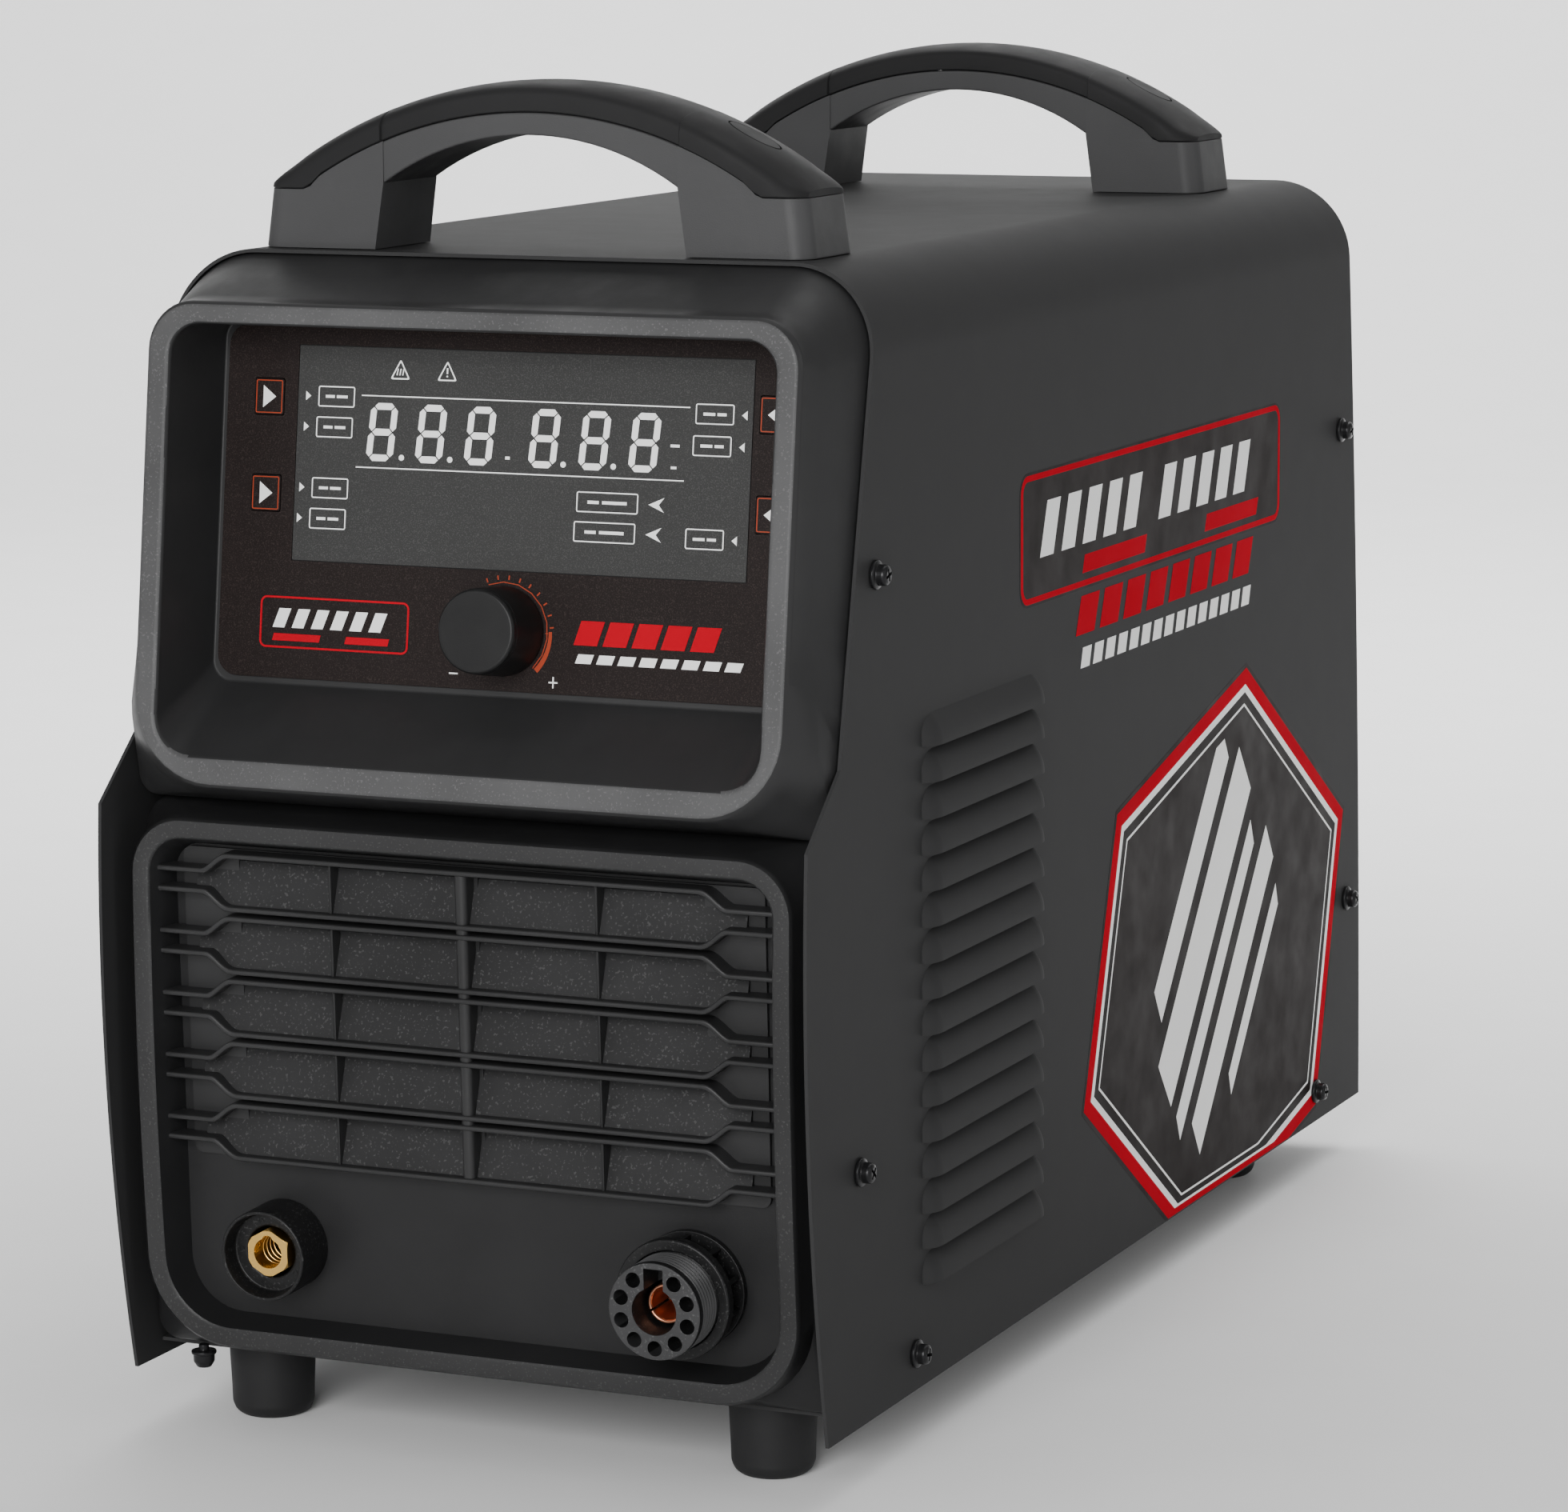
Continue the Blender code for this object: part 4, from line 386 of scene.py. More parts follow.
# Lighter grey for the torch socket's thread flanks: painted highlight standing in for glints of light along the
# thread.
THREAD_HIGHLIGHT = finish("thread_painted_highlight", (0.026, 0.026, 0.027), 0.38, grain=1400, bump=0.05, mottle=0.2, shine=0.5)
SOCKET = finish("socket_black", (0.0075, 0.0075, 0.0078), 0.42, grain=1400, bump=0.05, mottle=0.2, specks=0.25,
                speck_colour=(0.045, 0.045, 0.045))
BRASS = finish("brass", (0.74, 0.47, 0.14), 0.28, 1.0, grain=900, bump=0.02, mottle=0.12)
COPPER = finish("copper", (0.78, 0.34, 0.2), 0.3, 1.0, grain=900, bump=0.03, mottle=0.15)
BLACK_STEEL = finish("black_steel", (0.018, 0.018, 0.019), 0.3, 0.5, grain=1400, bump=0.02, mottle=0.2)
ZINC = finish("zinc_steel", (0.55, 0.56, 0.57), 0.34, 1.0, grain=700, bump=0.02, mottle=0.14)
ALUMINIUM = finish("aluminium", (0.16, 0.16, 0.165), 0.45, 1.0, grain=500, bump=0.02, mottle=0.08,
                   brushed=(1, 0.05, 1))
BOARD = finish("circuit_board", (0.015, 0.11, 0.04), 0.42, grain=900, bump=0.04, mottle=0.3)
FERRITE = finish("ferrite", (0.045, 0.045, 0.047), 0.6, 0.1, grain=1200, bump=0.05, mottle=0.2)
WINDING = finish("winding", (0.42, 0.16, 0.05), 0.4, 0.5, grain=260, bump=0.5, mottle=0.3, brushed=(1, 1, 8))
GREY = finish("grey_plastic", (0.5, 0.5, 0.48), 0.42, bump=0.03, mottle=0.06)


# ---------------------------------------------------------------- placing pieces
def show(name, mesh, paint, nodes=(), body="machine", smooth=35, weighted=True):
    """Puts a mesh, in machine millimetres, into the scene as one piece."""
    mesh.transform(WORLD)
    mesh.materials.clear()
    mesh.materials.append(paint)
    for polygon in mesh.polygons:
        polygon.material_index = 0
    mesh.shade_smooth()
    mesh.set_sharp_from_angle(angle=math.radians(smooth))
    obj = bpy.data.objects.new(name, mesh)
    SCENE.collection.objects.link(obj)
    if weighted:
        modifier = obj.modifiers.new("weighted", "WEIGHTED_NORMAL")
        modifier.keep_sharp = True
        modifier.weight = 80
    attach(obj, body)
    if nodes:
        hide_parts(*nodes)
    return obj


def repaint(obj, paint, plane_matrix, depth, reach, facing=0.85):
    """Gives the faces that lie near a plane and look out of it a second material."""
    out = plane_matrix.to_3x3() @ Vector((0, 0, 1))
    origin = plane_matrix.translation
    obj.data.materials.append(paint)
    back = WORLD.inverted()
    for polygon in obj.data.polygons:
        offset = (back @ polygon.center - origin).dot(out)
        if abs(offset - depth) < reach and polygon.normal.dot(out) > facing:
            polygon.material_index = 1


def dress(node, paint, width=0.0):
    """A CAD node that stays gets a better material, and its edges a small round."""
    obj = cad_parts[node]
    obj.data.materials.clear()
    obj.data.materials.append(paint)
    if width:
        modifier = obj.modifiers.new("edges", "BEVEL")
        modifier.width = width / 1000
        modifier.segments = 2
        modifier.limit_method = "ANGLE"
        modifier.angle_limit = math.radians(40)
        modifier.harden_normals = False
        weighted = obj.modifiers.new("weighted", "WEIGHTED_NORMAL")
        weighted.keep_sharp = True


# ---------------------------------------------------------------- side screws
SCREWS = (("front_top", brow_y(347) + 19, 347), ("front_mid", 46, 106.5), ("front_low", 105, 16),
          ("rear_top", rear_y(347) - 22.5, 347), ("rear_mid", rear_y(106.5) - 22.5, 106.5),
          ("rear_low", 635, 16))
SCREW_HOLE = 4.7


def screw_holes(screws, starts, length):
    """Cutters for the side screws' holes, on both sides."""
    return [rod(SIDE, y, z, SCREW_HOLE, a, a + length, 16) for _, y, z in screws for a in starts]


def make_screws():
    profile = filleted([(0, 6.1), (2.6, 6.2), (3.9, 5.6), (4.3, 4.6), (4.3, 2.0), (5.6, 1.6), (6, 1.2), (6, 0),
                        (2, 0), (2, -7), (0, -7)], 0.35, 2, closed=False)
    head = turned(profile, steps=40)
    cross = [slab([rounded(-a, a, -b, b, 0.3, steps=2)], 3.6, 8) for a, b in ((2.7, 0.65), (0.65, 2.7))]
    head = cut(head, combine(*cross, "UNION"))
    for side, sign in (("right", 1), ("left", -1)):
        for index, (name, y, z) in enumerate(SCREWS):
            seat = plane((sign * (HALF + GAP), y, z), (0, sign, 0), (0, 0, 1))
            turn = Matrix.Rotation(math.radians(17 + 31 * index), 4, "Z")
            show(f"side_screw_{side}_{name}", moved(head, seat @ turn), BLACK_STEEL,
                 [f"screw_{side}_{name}"])


# ---------------------------------------------------------------- cover
LOUVRES, LOUVRE_DROP, LOUVRE_PITCH, LOUVRE_HEIGHT = 16, 187, 15.1, 13


def louvre_body(sign, foot, low, height, depth, half, end, root, sill, steps=7):
    """A pressed hood: quarter-round section with rounded ends, open at its foot."""
    middle = 180.0
    stations = [end * (1 - math.cos(math.pi / 2 * i / 5)) for i in range(6)]
    stations = [-half + s for s in stations] + [half - s for s in reversed(stations)]
    loops = []
    for offset in stations:
        near = min(half - abs(offset), end) / end
        share = max(math.sqrt(max(1 - (1 - near) ** 2, 0)), 0.06)
        rise = height * (0.35 + 0.65 * share)
        loop = [(sign * root, middle + offset, sill), (sign * (HALF + 0.02), middle + offset, sill)]
        for k in range(steps + 1):
            s = k / steps
            out = HALF + depth * share * (1 - s ** 2.3)
            loop.append((sign * out, middle + offset, low + (foot - low) * (k > 0) + rise * s))
        loop.append((sign * root, middle + offset, foot + rise))
        loops.append(loop)
    return loft(loops)


def make_cover():
    outer = arch_outline(HALF, TOP, 37.5)
    inner = arch_outline(HALF - SHEET, TOP - SHEET, 36)
    outline = outer[1:] + [outer[0]] + [inner[0]] + inner[:0:-1]
    cover = slab([outline], -LENGTH - 20, 30, FRONT)
    cover = combine(cover, slab([side_outline()], -HALF - 10, HALF + 10, SIDE), "INTERSECT")
    hoods, cavities = [], []
    for sign in (1, -1):
        sill = 1.6 if sign > 0 else 3.4
        for i in range(LOUVRES):
            foot = TOP - LOUVRE_DROP - i * LOUVRE_PITCH - LOUVRE_HEIGHT
            hoods.append(louvre_body(sign, foot, foot, LOUVRE_HEIGHT, 5.5, 67, 11, HALF - 0.9, foot))
            cavities.append(louvre_body(sign, foot, foot - 0.4, 10.5, 4.4, 63.5, 8.5, HALF - 2.3, foot + sill))
    cover = combine(cover, merged(hoods), "UNION")
    holes = screw_holes(SCREWS, (HALF - 4, -HALF - 2), 6)
    cover = cut(cover, *cavities)
    cover = cut(cover, *holes)
    show("cover_shell", cover, PAINT, ["cover"], smooth=32)


# ---------------------------------------------------------------- front mouldings
def hood_loop(half, low, high, foot, top):
    return rounded(-half, half, low, high, foot, top, 10, 14)


def console_loop(half, low, high, foot, top, depth, swell=0.0):
    points = []
    for x, y in hood_loop(half, low, high, foot, top):
        share = min(max((62 - y) / 21.7, 0), 1)
        x += math.copysign(swell * share, x)
        points.append(CONSOLE @ Vector((x, y, -depth)))
    return points


def tucked_loop(inset, setback):
    points = hood_loop(INSIDE - inset, WAIST + inset, INSIDE_TOP - inset, 10, INSIDE_RADIUS - inset)
    return [Vector((x, brow_y(z) + setback, z)) for x, z in points]


KEYS = (("key_left_upper", -109.5, 162.1), ("key_left_lower", -109.5, 122.1),
        ("key_right_upper", 120.15, 162.1), ("key_right_lower", 120.15, 122.1))


def key_openings(play, low, high):
    return [slab([rounded(x - 6.75 - play, x + 6.75 + play, y - 7.5 - play, y + 7.5 + play, 1)],
                 low, high, CONSOLE) for _, x, y in KEYS]


def make_front_hood():
    loops = [
        console_loop(132, 43, 194.57, 9, 9, 40),
        console_loop(RIM_HALF - 11, 13, RIM_HEIGHT - 9.5, 16, 13, 1.2),
        console_loop(RIM_HALF - 9.4, 11.4, RIM_HEIGHT - 8.4, 17, 14, 0),
        console_loop(RIM_HALF - 2, 2, RIM_HEIGHT - 2, 35, 19, 0),
        console_loop(RIM_HALF, 0, RIM_HEIGHT, 36, 20, 2),
        console_loop(RIM_HALF + 1, -1, RIM_HEIGHT + 1, 36, 22, 7, 3.3),
        console_loop(RIM_HALF + 3, -3, RIM_HEIGHT + 3, 36, 24, 14, 5.5),
        tucked_loop(0, 2), tucked_loop(0, 30), tucked_loop(WALL, 30),
        console_loop(144, 7, RIM_HEIGHT - 3, 9, 20, 43),
    ]
    hood = softened(loft(loops), 0.8, 24, 3)
    tools = key_openings(0.8, -46, -37) + [rod(CONSOLE, *KNOB_AXIS, 7.6, -46, -37)]
    hood = cut(hood, *tools)
    hood = cut(hood, *screw_holes(SCREWS[:1], (INSIDE - 6, -INSIDE - 3), 9))
    obj = show("console_hood", hood, HOOD, ["front_hood"], smooth=40)
    # The rim's front faces take the lighter grey of painted sheen.
    repaint(obj, ABS_SHEEN_FACE, CONSOLE, 0, 0.9, 0.8)


def panel_face_y(z):
    return 2.3 + 1500 - math.sqrt(1500 ** 2 - (z - 180) ** 2)


def face_loop(inset, setback):
    points = hood_loop(150 - inset, 13 + inset, 240 - inset, max(38 - inset, 6), max(24 - inset, 6))
    return [Vector((x, panel_face_y(z) + setback, z)) for x, z in points]


def back_loop(inset, y):
    points = hood_loop(INSIDE - inset, 8.3 + inset, WAIST - 0.3 - inset, 10, 14)
    return [Vector((x, y, z)) for x, z in points]


def plate_loop(inset, depth):
    points = hood_loop(137 - inset, inset, 201 - inset, 24, 12)
    return [PLATE @ Vector((x, y, -depth)) for x, y in points]


GRILLE_HIGH, GRILLE_LOW = 199.8, 68.7
SLOT_PITCH, SLOT_HALF = 26.6, 10.15
SLOT_ROWS = [GRILLE_HIGH - 2.2 - SLOT_HALF - row * SLOT_PITCH for row in range(5)]
EARTH_X, TORCH_X, SOCKET_LIFT = -91.0, 96.0, 32.0


def socket_frame(x):
    return PLATE @ Matrix.Translation((x, SOCKET_LIFT, 0))


def make_lower_panel():
    loops = [plate_loop(0, 0), face_loop(9, 1), face_loop(7.6, 0), face_loop(1.4, 0), face_loop(0, 1.4),
             face_loop(-1, 12), back_loop(1, 30), back_loop(0, 34), back_loop(0, 60), back_loop(3, 60),
             back_loop(5, 32), plate_loop(-4, 3)]
    panel = softened(loft(loops), 0.9, 24, 3)
    holes = [slab([rounded(-126, 126, GRILLE_LOW + 6, GRILLE_HIGH - 6, 3)], -12, 3, PLATE)]
    holes += [rod(socket_frame(x), 0, 0, 24.6, -12, 3, 40) for x in (EARTH_X, TORCH_X)]
    panel = cut(panel, *holes)
    panel = cut(panel, *screw_holes(SCREWS[1:2], (INSIDE - 6, -INSIDE - 3), 9))
    obj = show("lower_moulding", panel, ABS, ["lower_panel"], smooth=40)
    obj.data.materials.append(FRAME_FACE)
    back = WORLD.inverted()
    for polygon in obj.data.polygons:
        place = back @ polygon.center
        if polygon.normal.y < -0.8 and place.y < panel_face_y(place.z) + 0.9:
            polygon.material_index = 1


def slot_loop(middle, grow):
    """The slot outline as one anticlockwise loop."""
    wide, tall, neck = 118.5 + grow * 0.4, SLOT_HALF + grow, 3.25 + grow
    end = 142.0 + grow
    quarter = [(end, neck)]
    for i in range(9):
        t = i / 8
        quarter.append((wide - 12 * t ** 1.15, neck + (tall - neck) * t * t * (3 - 2 * t)))
    top = quarter + [(-x, y) for x, y in reversed(quarter)]
    loop = top + [(-x, -y) for x, y in top]
    return [(x, y + middle) for x, y in loop]


def make_grille():
    base, front = GAP, 11.0
    outline = rounded(-132.2, 132.2, GRILLE_LOW - 0.2, GRILLE_HIGH + 0.2, 4)
    openings, rings, blades = [], [], []
    for middle in SLOT_ROWS:
        openings += [rounded(*edges, middle + 1.5, middle + 9, 1) for edges in ((4.5, 106), (-106, -4.5))]
        rings.append(slab([slot_loop(middle, 2.2), slot_loop(middle, 0)], base + 0.5, front, PLATE, 0.95, 3))
        section = [(-10.6, 1.0), (-10.6, 6.8), (0.0, 3.2), (7.6, 0.7), (7.6, -0.7), (0.0, 1.0)]
        blade = loft([[PLATE @ Vector((x, middle + y, z)) for y, z in section] for x in (-125, 125)])
        blades.append(combine(blade, slab([slot_loop(middle, 0.6)], -5, 15, PLATE), "INTERSECT"))
    backing = slab([outline] + openings, base, base + 1.7, PLATE)
    show("grille_ribs", merged([backing] + rings), GRILLE, ["front_grille"], smooth=45)
    show("grille_blades", merged(blades), BLADE, smooth=30)
    fins = []
    for middle in SLOT_ROWS:
        for x in (-60.5, 60.5):
            points = [(-0.75, 2), (0.75, 2), (0.53, 8), (0, 8.4), (-0.53, 8)]
            fins.append(loft([[PLATE @ Vector((x + a, middle + y, z)) for a, z in points]
                              for y in (-10.6, 10.6)]))
    section = [(-2.8, 1.2), (2.8, 1.2), (2.8, 8.0), (2.3, 9.2), (1.2, 9.9), (0, 10.1), (-1.2, 9.9), (-2.3, 9.2),
               (-2.8, 8.0)]
    fins.append(loft([[PLATE @ Vector((x, y, z)) for x, z in section]
                      for y in (GRILLE_LOW + 1, GRILLE_HIGH - 1)]))
    show("grille_bar_and_fins", merged(fins), GRILLE, smooth=40)


# ---------------------------------------------------------------- console pieces
def segments(x, y, width=12.5, height=24.0, thick=2.8, slant=2.0):
    """The seven segments of one digit, as outlines."""
    t, gap, mid = thick / 2, 0.35, height / 2

    def lying(yc):
        return [(t + gap, yc), (thick + gap, yc + t), (width - thick - gap, yc + t), (width - t - gap, yc),
                (width - thick - gap, yc - t), (thick + gap, yc - t)]

    def standing(xc, low, high):
        return [(xc, low + gap), (xc + t, low + t + gap), (xc + t, high - t - gap), (xc, high - gap),
                (xc - t, high - t - gap), (xc - t, low + t + gap)]

    shapes = [lying(t), lying(mid), lying(height - t)]
    shapes += [standing(xc, a, b) for xc in (t, width - t) for a, b in ((t, mid), (mid, height - t))]
    return [[(x + px + slant * py / height, y + py) for px, py in shape] for shape in shapes]


def triangle(x, y, width, half):
    """A triangle with its tip at x, y; a positive width points left."""
    return [(x, y), (x + width, y - half), (x + width, y + half)]


def make_console():
    back, face = -39.7, OVERLAY_FACE
    window = (-96.5, 110.5, 94.5, 184.1)
    film = slab([rounded(-129.5, 129.5, 45.5, 192.1, 9), rounded(*window, 0.5)], back, face, CONSOLE, 0.15, 1)
    film = cut(film, *key_openings(GAP, back - 2, face + 2), rod(CONSOLE, *KNOB_AXIS, 7.6, back - 2, face + 2))
    show("overlay_sheet", film, FILM, ["control_overlay"])
    pane = rounded(window[0] + 0.3, window[1] - 0.3, window[2] + 0.3, window[3] - 0.3, 0.3)
    show("display_pane", slab([pane], back, face, CONSOLE, 0.1, 1), WINDOW, ["display_window"])
    for name, x, y in KEYS:
        sign = -1 if x < 0 else 1
        cap = slab([rounded(x - 6.75, x + 6.75, y - 7.5, y + 7.5, 1)], face - 3.8, face + 0.6, CONSOLE, 0.35, 3)
        show(f"{name}_cap", cap, FILM, [name], name)
        top = face + 0.55
        line = slab(ring_outline(x - 6.2, x + 6.2, y - 6.9, y + 6.9, 0.8, 0.45), top, top + 0.12, CONSOLE)
        show(f"{name}_outline", line, ORANGE, body=name)
        arrow = slab([triangle(x + sign * -3.2, y, sign * 6.0, 4.6)] if sign > 0
                     else [triangle(x + 3.2, y, -6.0, 4.6)], top, top + 0.12, CONSOLE)
        show(f"{name}_arrow", arrow, WHITE, body=name)
    white = []
    for x, y in ((-86.7, 167.3), (-87.2, 154.6), (-88.2, 129.4), (-88.8, 116.7)):
        white += ring_outline(x, x + 17, y - 8.6, y, 0.9, 0.5)
        white.append(triangle(x - 3.4, y - 4.3, -2.4, 1.9))
        white += [bar(x + 3.4, x + 7.6, y - 4.9, y - 3.7), bar(x + 8.6, x + 13.6, y - 4.9, y - 3.7)]
    for x, y in ((85, 165.7), (84.3, 152.9), (82.7, 115.4)):
        white += ring_outline(x, x + 17, y - 8.3, y, 0.9, 0.5)
        white.append(triangle(x + 20.4, y - 4.2, 2.4, 1.9))
        white += [bar(x + 3.4, x + 8.6, y - 4.8, y - 3.6), bar(x + 9.6, x + 13.6, y - 4.8, y - 3.6)]
    for x, y in ((33.6, 128.4), (32.8, 116.3)):
        white += ring_outline(x, x + 27.6, y - 8.4, y, 0.9, 0.5)
        tip = x + 32.2
        white.append([(tip, y - 4.2), (tip + 7, y - 7.2), (tip + 4.6, y - 4.2), (tip + 7, y - 1.2)])
        white += [bar(x + 5, x + 10, y - 4.9, y - 3.6), bar(x + 11.5, x + 22.5, y - 4.9, y - 3.6)]
    white += [bar(-66.5, 82.5, 163.7, 164.2), bar(-68, 81, 134.1, 134.6)]
    for x in (-62.7, -40, -17.5, 11.8, 34.4, 56.8):
        white += segments(x - 1.0, 137.1)
    white += [circle(x, 138.9, 2.5, 12) for x in (-47.0, -24.7, 26.9, 49.4)]
    white += [bar(0.6, 2.6, 140.0, 141.2), bar(74.5, 78.5, 147.7, 148.8), bar(75, 77.5, 138.9, 140)]
    for x in (-49, -27.4):
        outer = filleted([(x - 4.6, 171), (x + 4.6, 171), (x, 179.4)], 1.2)
        inner = filleted([(x - 3.6, 171.6), (x + 3.6, 171.6), (x, 178.2)], 0.8)
        white += [outer, inner]
    white += [bar(-27.75, -27.05, 173.9, 176.3), circle(-27.4, 172.9, 0.8, 10)]
    white += [bar(x, x + 0.5, 172.7, 175.4, 0.5) for x in (-50.8, -49.5, -48.2)]
    white += [bar(-21, -17, 51.3, 51.9), bar(24.5, 28.5, 49.9, 50.5), bar(26.2, 26.8, 47.9, 49.9),
              bar(26.2, 26.8, 50.5, 52.5)]
    white += [bar(36 + i * 9.5, 43 + i * 9.5, 58.6, 62.4, 1.4) for i in range(8)]
    white += [bar(-104 + i * 9, -98.5 + i * 9, 66.5, 74.5, 3) for i in range(6)]
    low = face - 0.02
    show("white_symbols", slab(white, low, low + 0.12, CONSOLE), WHITE, smooth=30)
    ticks = []
    kx, ky = KNOB_AXIS
    for i in range(9):
        a = math.radians(112 - 13.2 * i)
        c, q = math.cos(a), math.sin(a)
        ticks.append([(kx + r * c - w * q, ky + r * q + w * c) for r, w in
                      ((21.1, -0.3), (22.9, -0.3), (22.9, 0.3), (21.1, 0.3))])
    ticks.append([(kx + r, ky + w) for r, w in ((19.2, -0.2), (20.4, -0.2), (20.4, 0.2), (19.2, 0.2))])

    def swept(knots):
        points = []
        for (r0, a0), (r1, a1) in zip(knots, knots[1:]):
            for k in range(9):
                t = k / 8
                a = math.radians(a0 + (a1 - a0) * t)
                r = r0 + (r1 - r0) * t
                points.append((kx + r * math.cos(a), ky + r * math.sin(a)))
        return points

    thin = swept([(19.9, 112), (19.9, -46)]) + swept([(20.3, 112), (20.3, -46)])[::-1]
    thick = swept([(20.7, 2), (20.7, -45)]) + swept([(22.1, 2), (22.9, -45)])[::-1]
    scale = [slab([thin, thick], low, low + 0.12, CONSOLE), slab(ticks, low, low + 0.1, CONSOLE)]
    show("dial_scale", merged(scale), ORANGE)
    red = ring_outline(-110, -40.5, 58, 79.5, 3, 0.8) + [bar(-104, -82, 61, 64, 0.8), bar(-70, -50, 61, 64, 0.8)]
    red += [bar(35 + i * 13, 45.5 + i * 13, 66, 76, 3.2) for i in range(5)]
    show("red_stripes", slab(red, low, low + 0.12, CONSOLE), RED)
    knob_frame = CONSOLE @ Matrix.Translation((kx, ky, 0))
    seat, top = face + 0.8, face + 25.8
    profile = filleted([(0, top - 0.15), (14.8, top), (16.4, top), (17.3, top - 0.9), (17.5, top - 2.2),
                        (17.35, top - 2.7), (17.6, top - 3.2), (18.45, seat + 1.2), (18.5, seat), (3, seat),
                        (3, -52), (0, -52)], 0.5, 3, closed=False)
    knob = turned(profile, knob_frame, 96)
    show("selector_knob", knob, KNOB, ["control_knob"], "control_knob", smooth=35)


# ---------------------------------------------------------------- sockets
def make_earth_socket():
    seat = socket_frame(EARTH_X)
    profile = filleted([(11.0, 13.6), (11.8, 14), (16.4, 14), (17.0, 14.8), (17.7, 21.6), (18.0, 22), (18.8, 22),
                        (19.3, 21.5), (19.3, GAP), (12, GAP), (12, -15.3), (11.0, -15.3)], 0.5, 3)
    cup = turned(profile, seat, 96, ring=True)
    marks = []
    for i in range(5):
        a = math.radians(36 + 72 * i)
        x, y = 13.7 * math.cos(a), 13.7 * math.sin(a)
        marks.append(slab([circle(x, y, 2.2, 16), circle(x, y, 1.6, 16)], 13.9, 14.2, seat))
    show("work_lead_socket", merged([cup] + marks), SOCKET, ["earth_socket"])
    corner = 10.65
    hexagon = [(corner * math.sin(math.tau * k / 6), corner * math.cos(math.tau * k / 6))
               for k in range(6, 0, -1)]
    core = slab([hexagon, circle(0, 0, 13, 40)], -19.3, 17, seat)
    cone = turned(filleted([(0, 18), (9.2, 17.4), (10.9, 16.0), (12, 14), (12, -20), (0, -20)], 0.1, 1, False),
                  seat, 48)
    core = combine(core, cone, "INTERSECT")
    core = cut(core, slab([rounded(-2.5, 2.5, 0, 7.7, 0.6, 2.2)], -22, 22, seat))
    thread = [wire([seat @ Vector((6.5 * math.cos(a), 6.5 * math.sin(a), z)) for a in
                    [math.tau * k / 28 for k in range(28)]], 0.5, True) for z in (9, 6, 3, 0, -3, -6)]
    show("work_lead_contact", softened(core, 0.35, 35), BRASS, ["earth_contact"], smooth=40)
    show("work_lead_threads", merged(thread), BRASS)


def make_torch_socket():
    seat = socket_frame(TORCH_X)
    front, collar_back = 37.95, 16.0
    thread = [(20.25 - 1.5 * (k % 2), 33.0 - 1.15 * k) for k in range(11)]
    profile = ([(9.75, front), (19.7, front), (20.15, front - 0.5), (20.15, 34.4), (19.2, 33.8)] + thread
               + [(18.9, 20.6), (20.25, 19.8), (20.25, collar_back), (12, collar_back), (12, -22), (8.75, -22),
                  (8.75, 2), (9.75, 2)])
    nose = turned(filleted(profile, 0.15, 1), seat, 96, ring=True)
    tools, rims = [], []
    for i in range(9):
        a = math.radians(90 + 36 * (i + 1))
        x, y = 15.25 * math.cos(a), 15.25 * math.sin(a)
        tools.append(rod(seat, x, y, 6.4, front - 10, front + 2, 28))
        rims.append(wire([seat @ Vector((x + 3.45 * math.cos(b), y + 3.45 * math.sin(b), front - 0.22)) for b in
                          [math.tau * k / 28 for k in range(28)]], 0.42, True))
    tools.append(slab([rounded(-4.25, 4.25, 0, 17.6, 0.4)], front - 14, front + 2, seat))
    nose = cut(nose, *tools)
    obj = show("torch_nose", merged([nose] + rims), SOCKET, ["torch_socket"], smooth=30)
    repaint(obj, SOCKET_FACE, seat, front, 1.0, 0.6)
    # The thread's flanks take the lighter grey of painted highlight.
    obj.data.materials.append(THREAD_HIGHLIGHT)
    back = (WORLD @ seat).inverted()
    for polygon in obj.data.polygons:
        place = back @ polygon.center
        if 21.0 < place.z < 34.5 and 17.5 < place.xy.length < 19.95:
            polygon.material_index = 2
    disc = turned(filleted([(20.6, 21), (24.6, 21), (25.25, 20.3), (25.25, 16), (20.6, 16)], 0.5, 3),
                  seat, 96, True)
    flange = turned(filleted([(12.3, GAP), (12.3, 3.3), (24.2, 3.3), (24.2, GAP)], 0.5, 3), seat, 96, True)
    drum = turned([(12.3, 3.0), (12.3, 15.7), (18.6, 15.7), (18.6, 3.0)], seat, 64, True)
    ribs = []
    for i in range(10):
        turn = seat @ Matrix.Rotation(math.tau * (i + 0.5) / 10, 4, "Z")
        ribs.append(slab([rounded(18.0, 23.0, -1.1, 1.1, 0.3)], 2.8, 16.4, turn))
    hoop = turned(filleted([(20.3, 15.2), (20.3, 16.6), (23.4, 16.6), (23.4, 15.2)], 0.3, 2), seat, 96, True)
    show("torch_collar_ring", merged([disc, flange, drum, hoop] + ribs), SOCKET, ["torch_collar"],
         smooth=38)
    tube = filleted([(6.6, 25.2), (7.2, 26), (8.0, 26), (8.3, 25.4), (8.3, 1.5), (8.45, 1), (8.45, -20),
                     (4.25, -20), (4.25, 6), (6.6, 8)], 0.2, 2)
    tube = turned(tube, seat, 64, True)
    slit = slab([[(-9, -0.55), (9, -0.55), (9, 0.55), (-9, 0.55)]], 8, 28, seat @ Matrix.Rotation(0.45, 4, "Z"))
    show("torch_pin_contact", cut(tube, slit), COPPER, ["torch_contact"], smooth=38)


# ---------------------------------------------------------------- handles
def circle_drop(x, half, sagitta):
    radius = (half ** 2 + sagitta ** 2) / (2 * sagitta)
    return radius - math.sqrt(max(radius ** 2 - x ** 2, 0))


def split_z(x):
    ramp, x = HANDLE_HALF - 24, abs(x)
    if x <= ramp:
        return 57.5 - circle_drop(x, ramp, 28)
    return 24.5 + 5 * (1 - min((x - ramp) / 7, 1)) ** 2


def cap_top_z(x):
    x, knee = abs(x), HANDLE_HALF - 26
    if x <= knee:
        return 70 - circle_drop(x, knee, 24)
    run = x - knee
    return 46 - 0.533 * run - 0.000268 * run ** 3


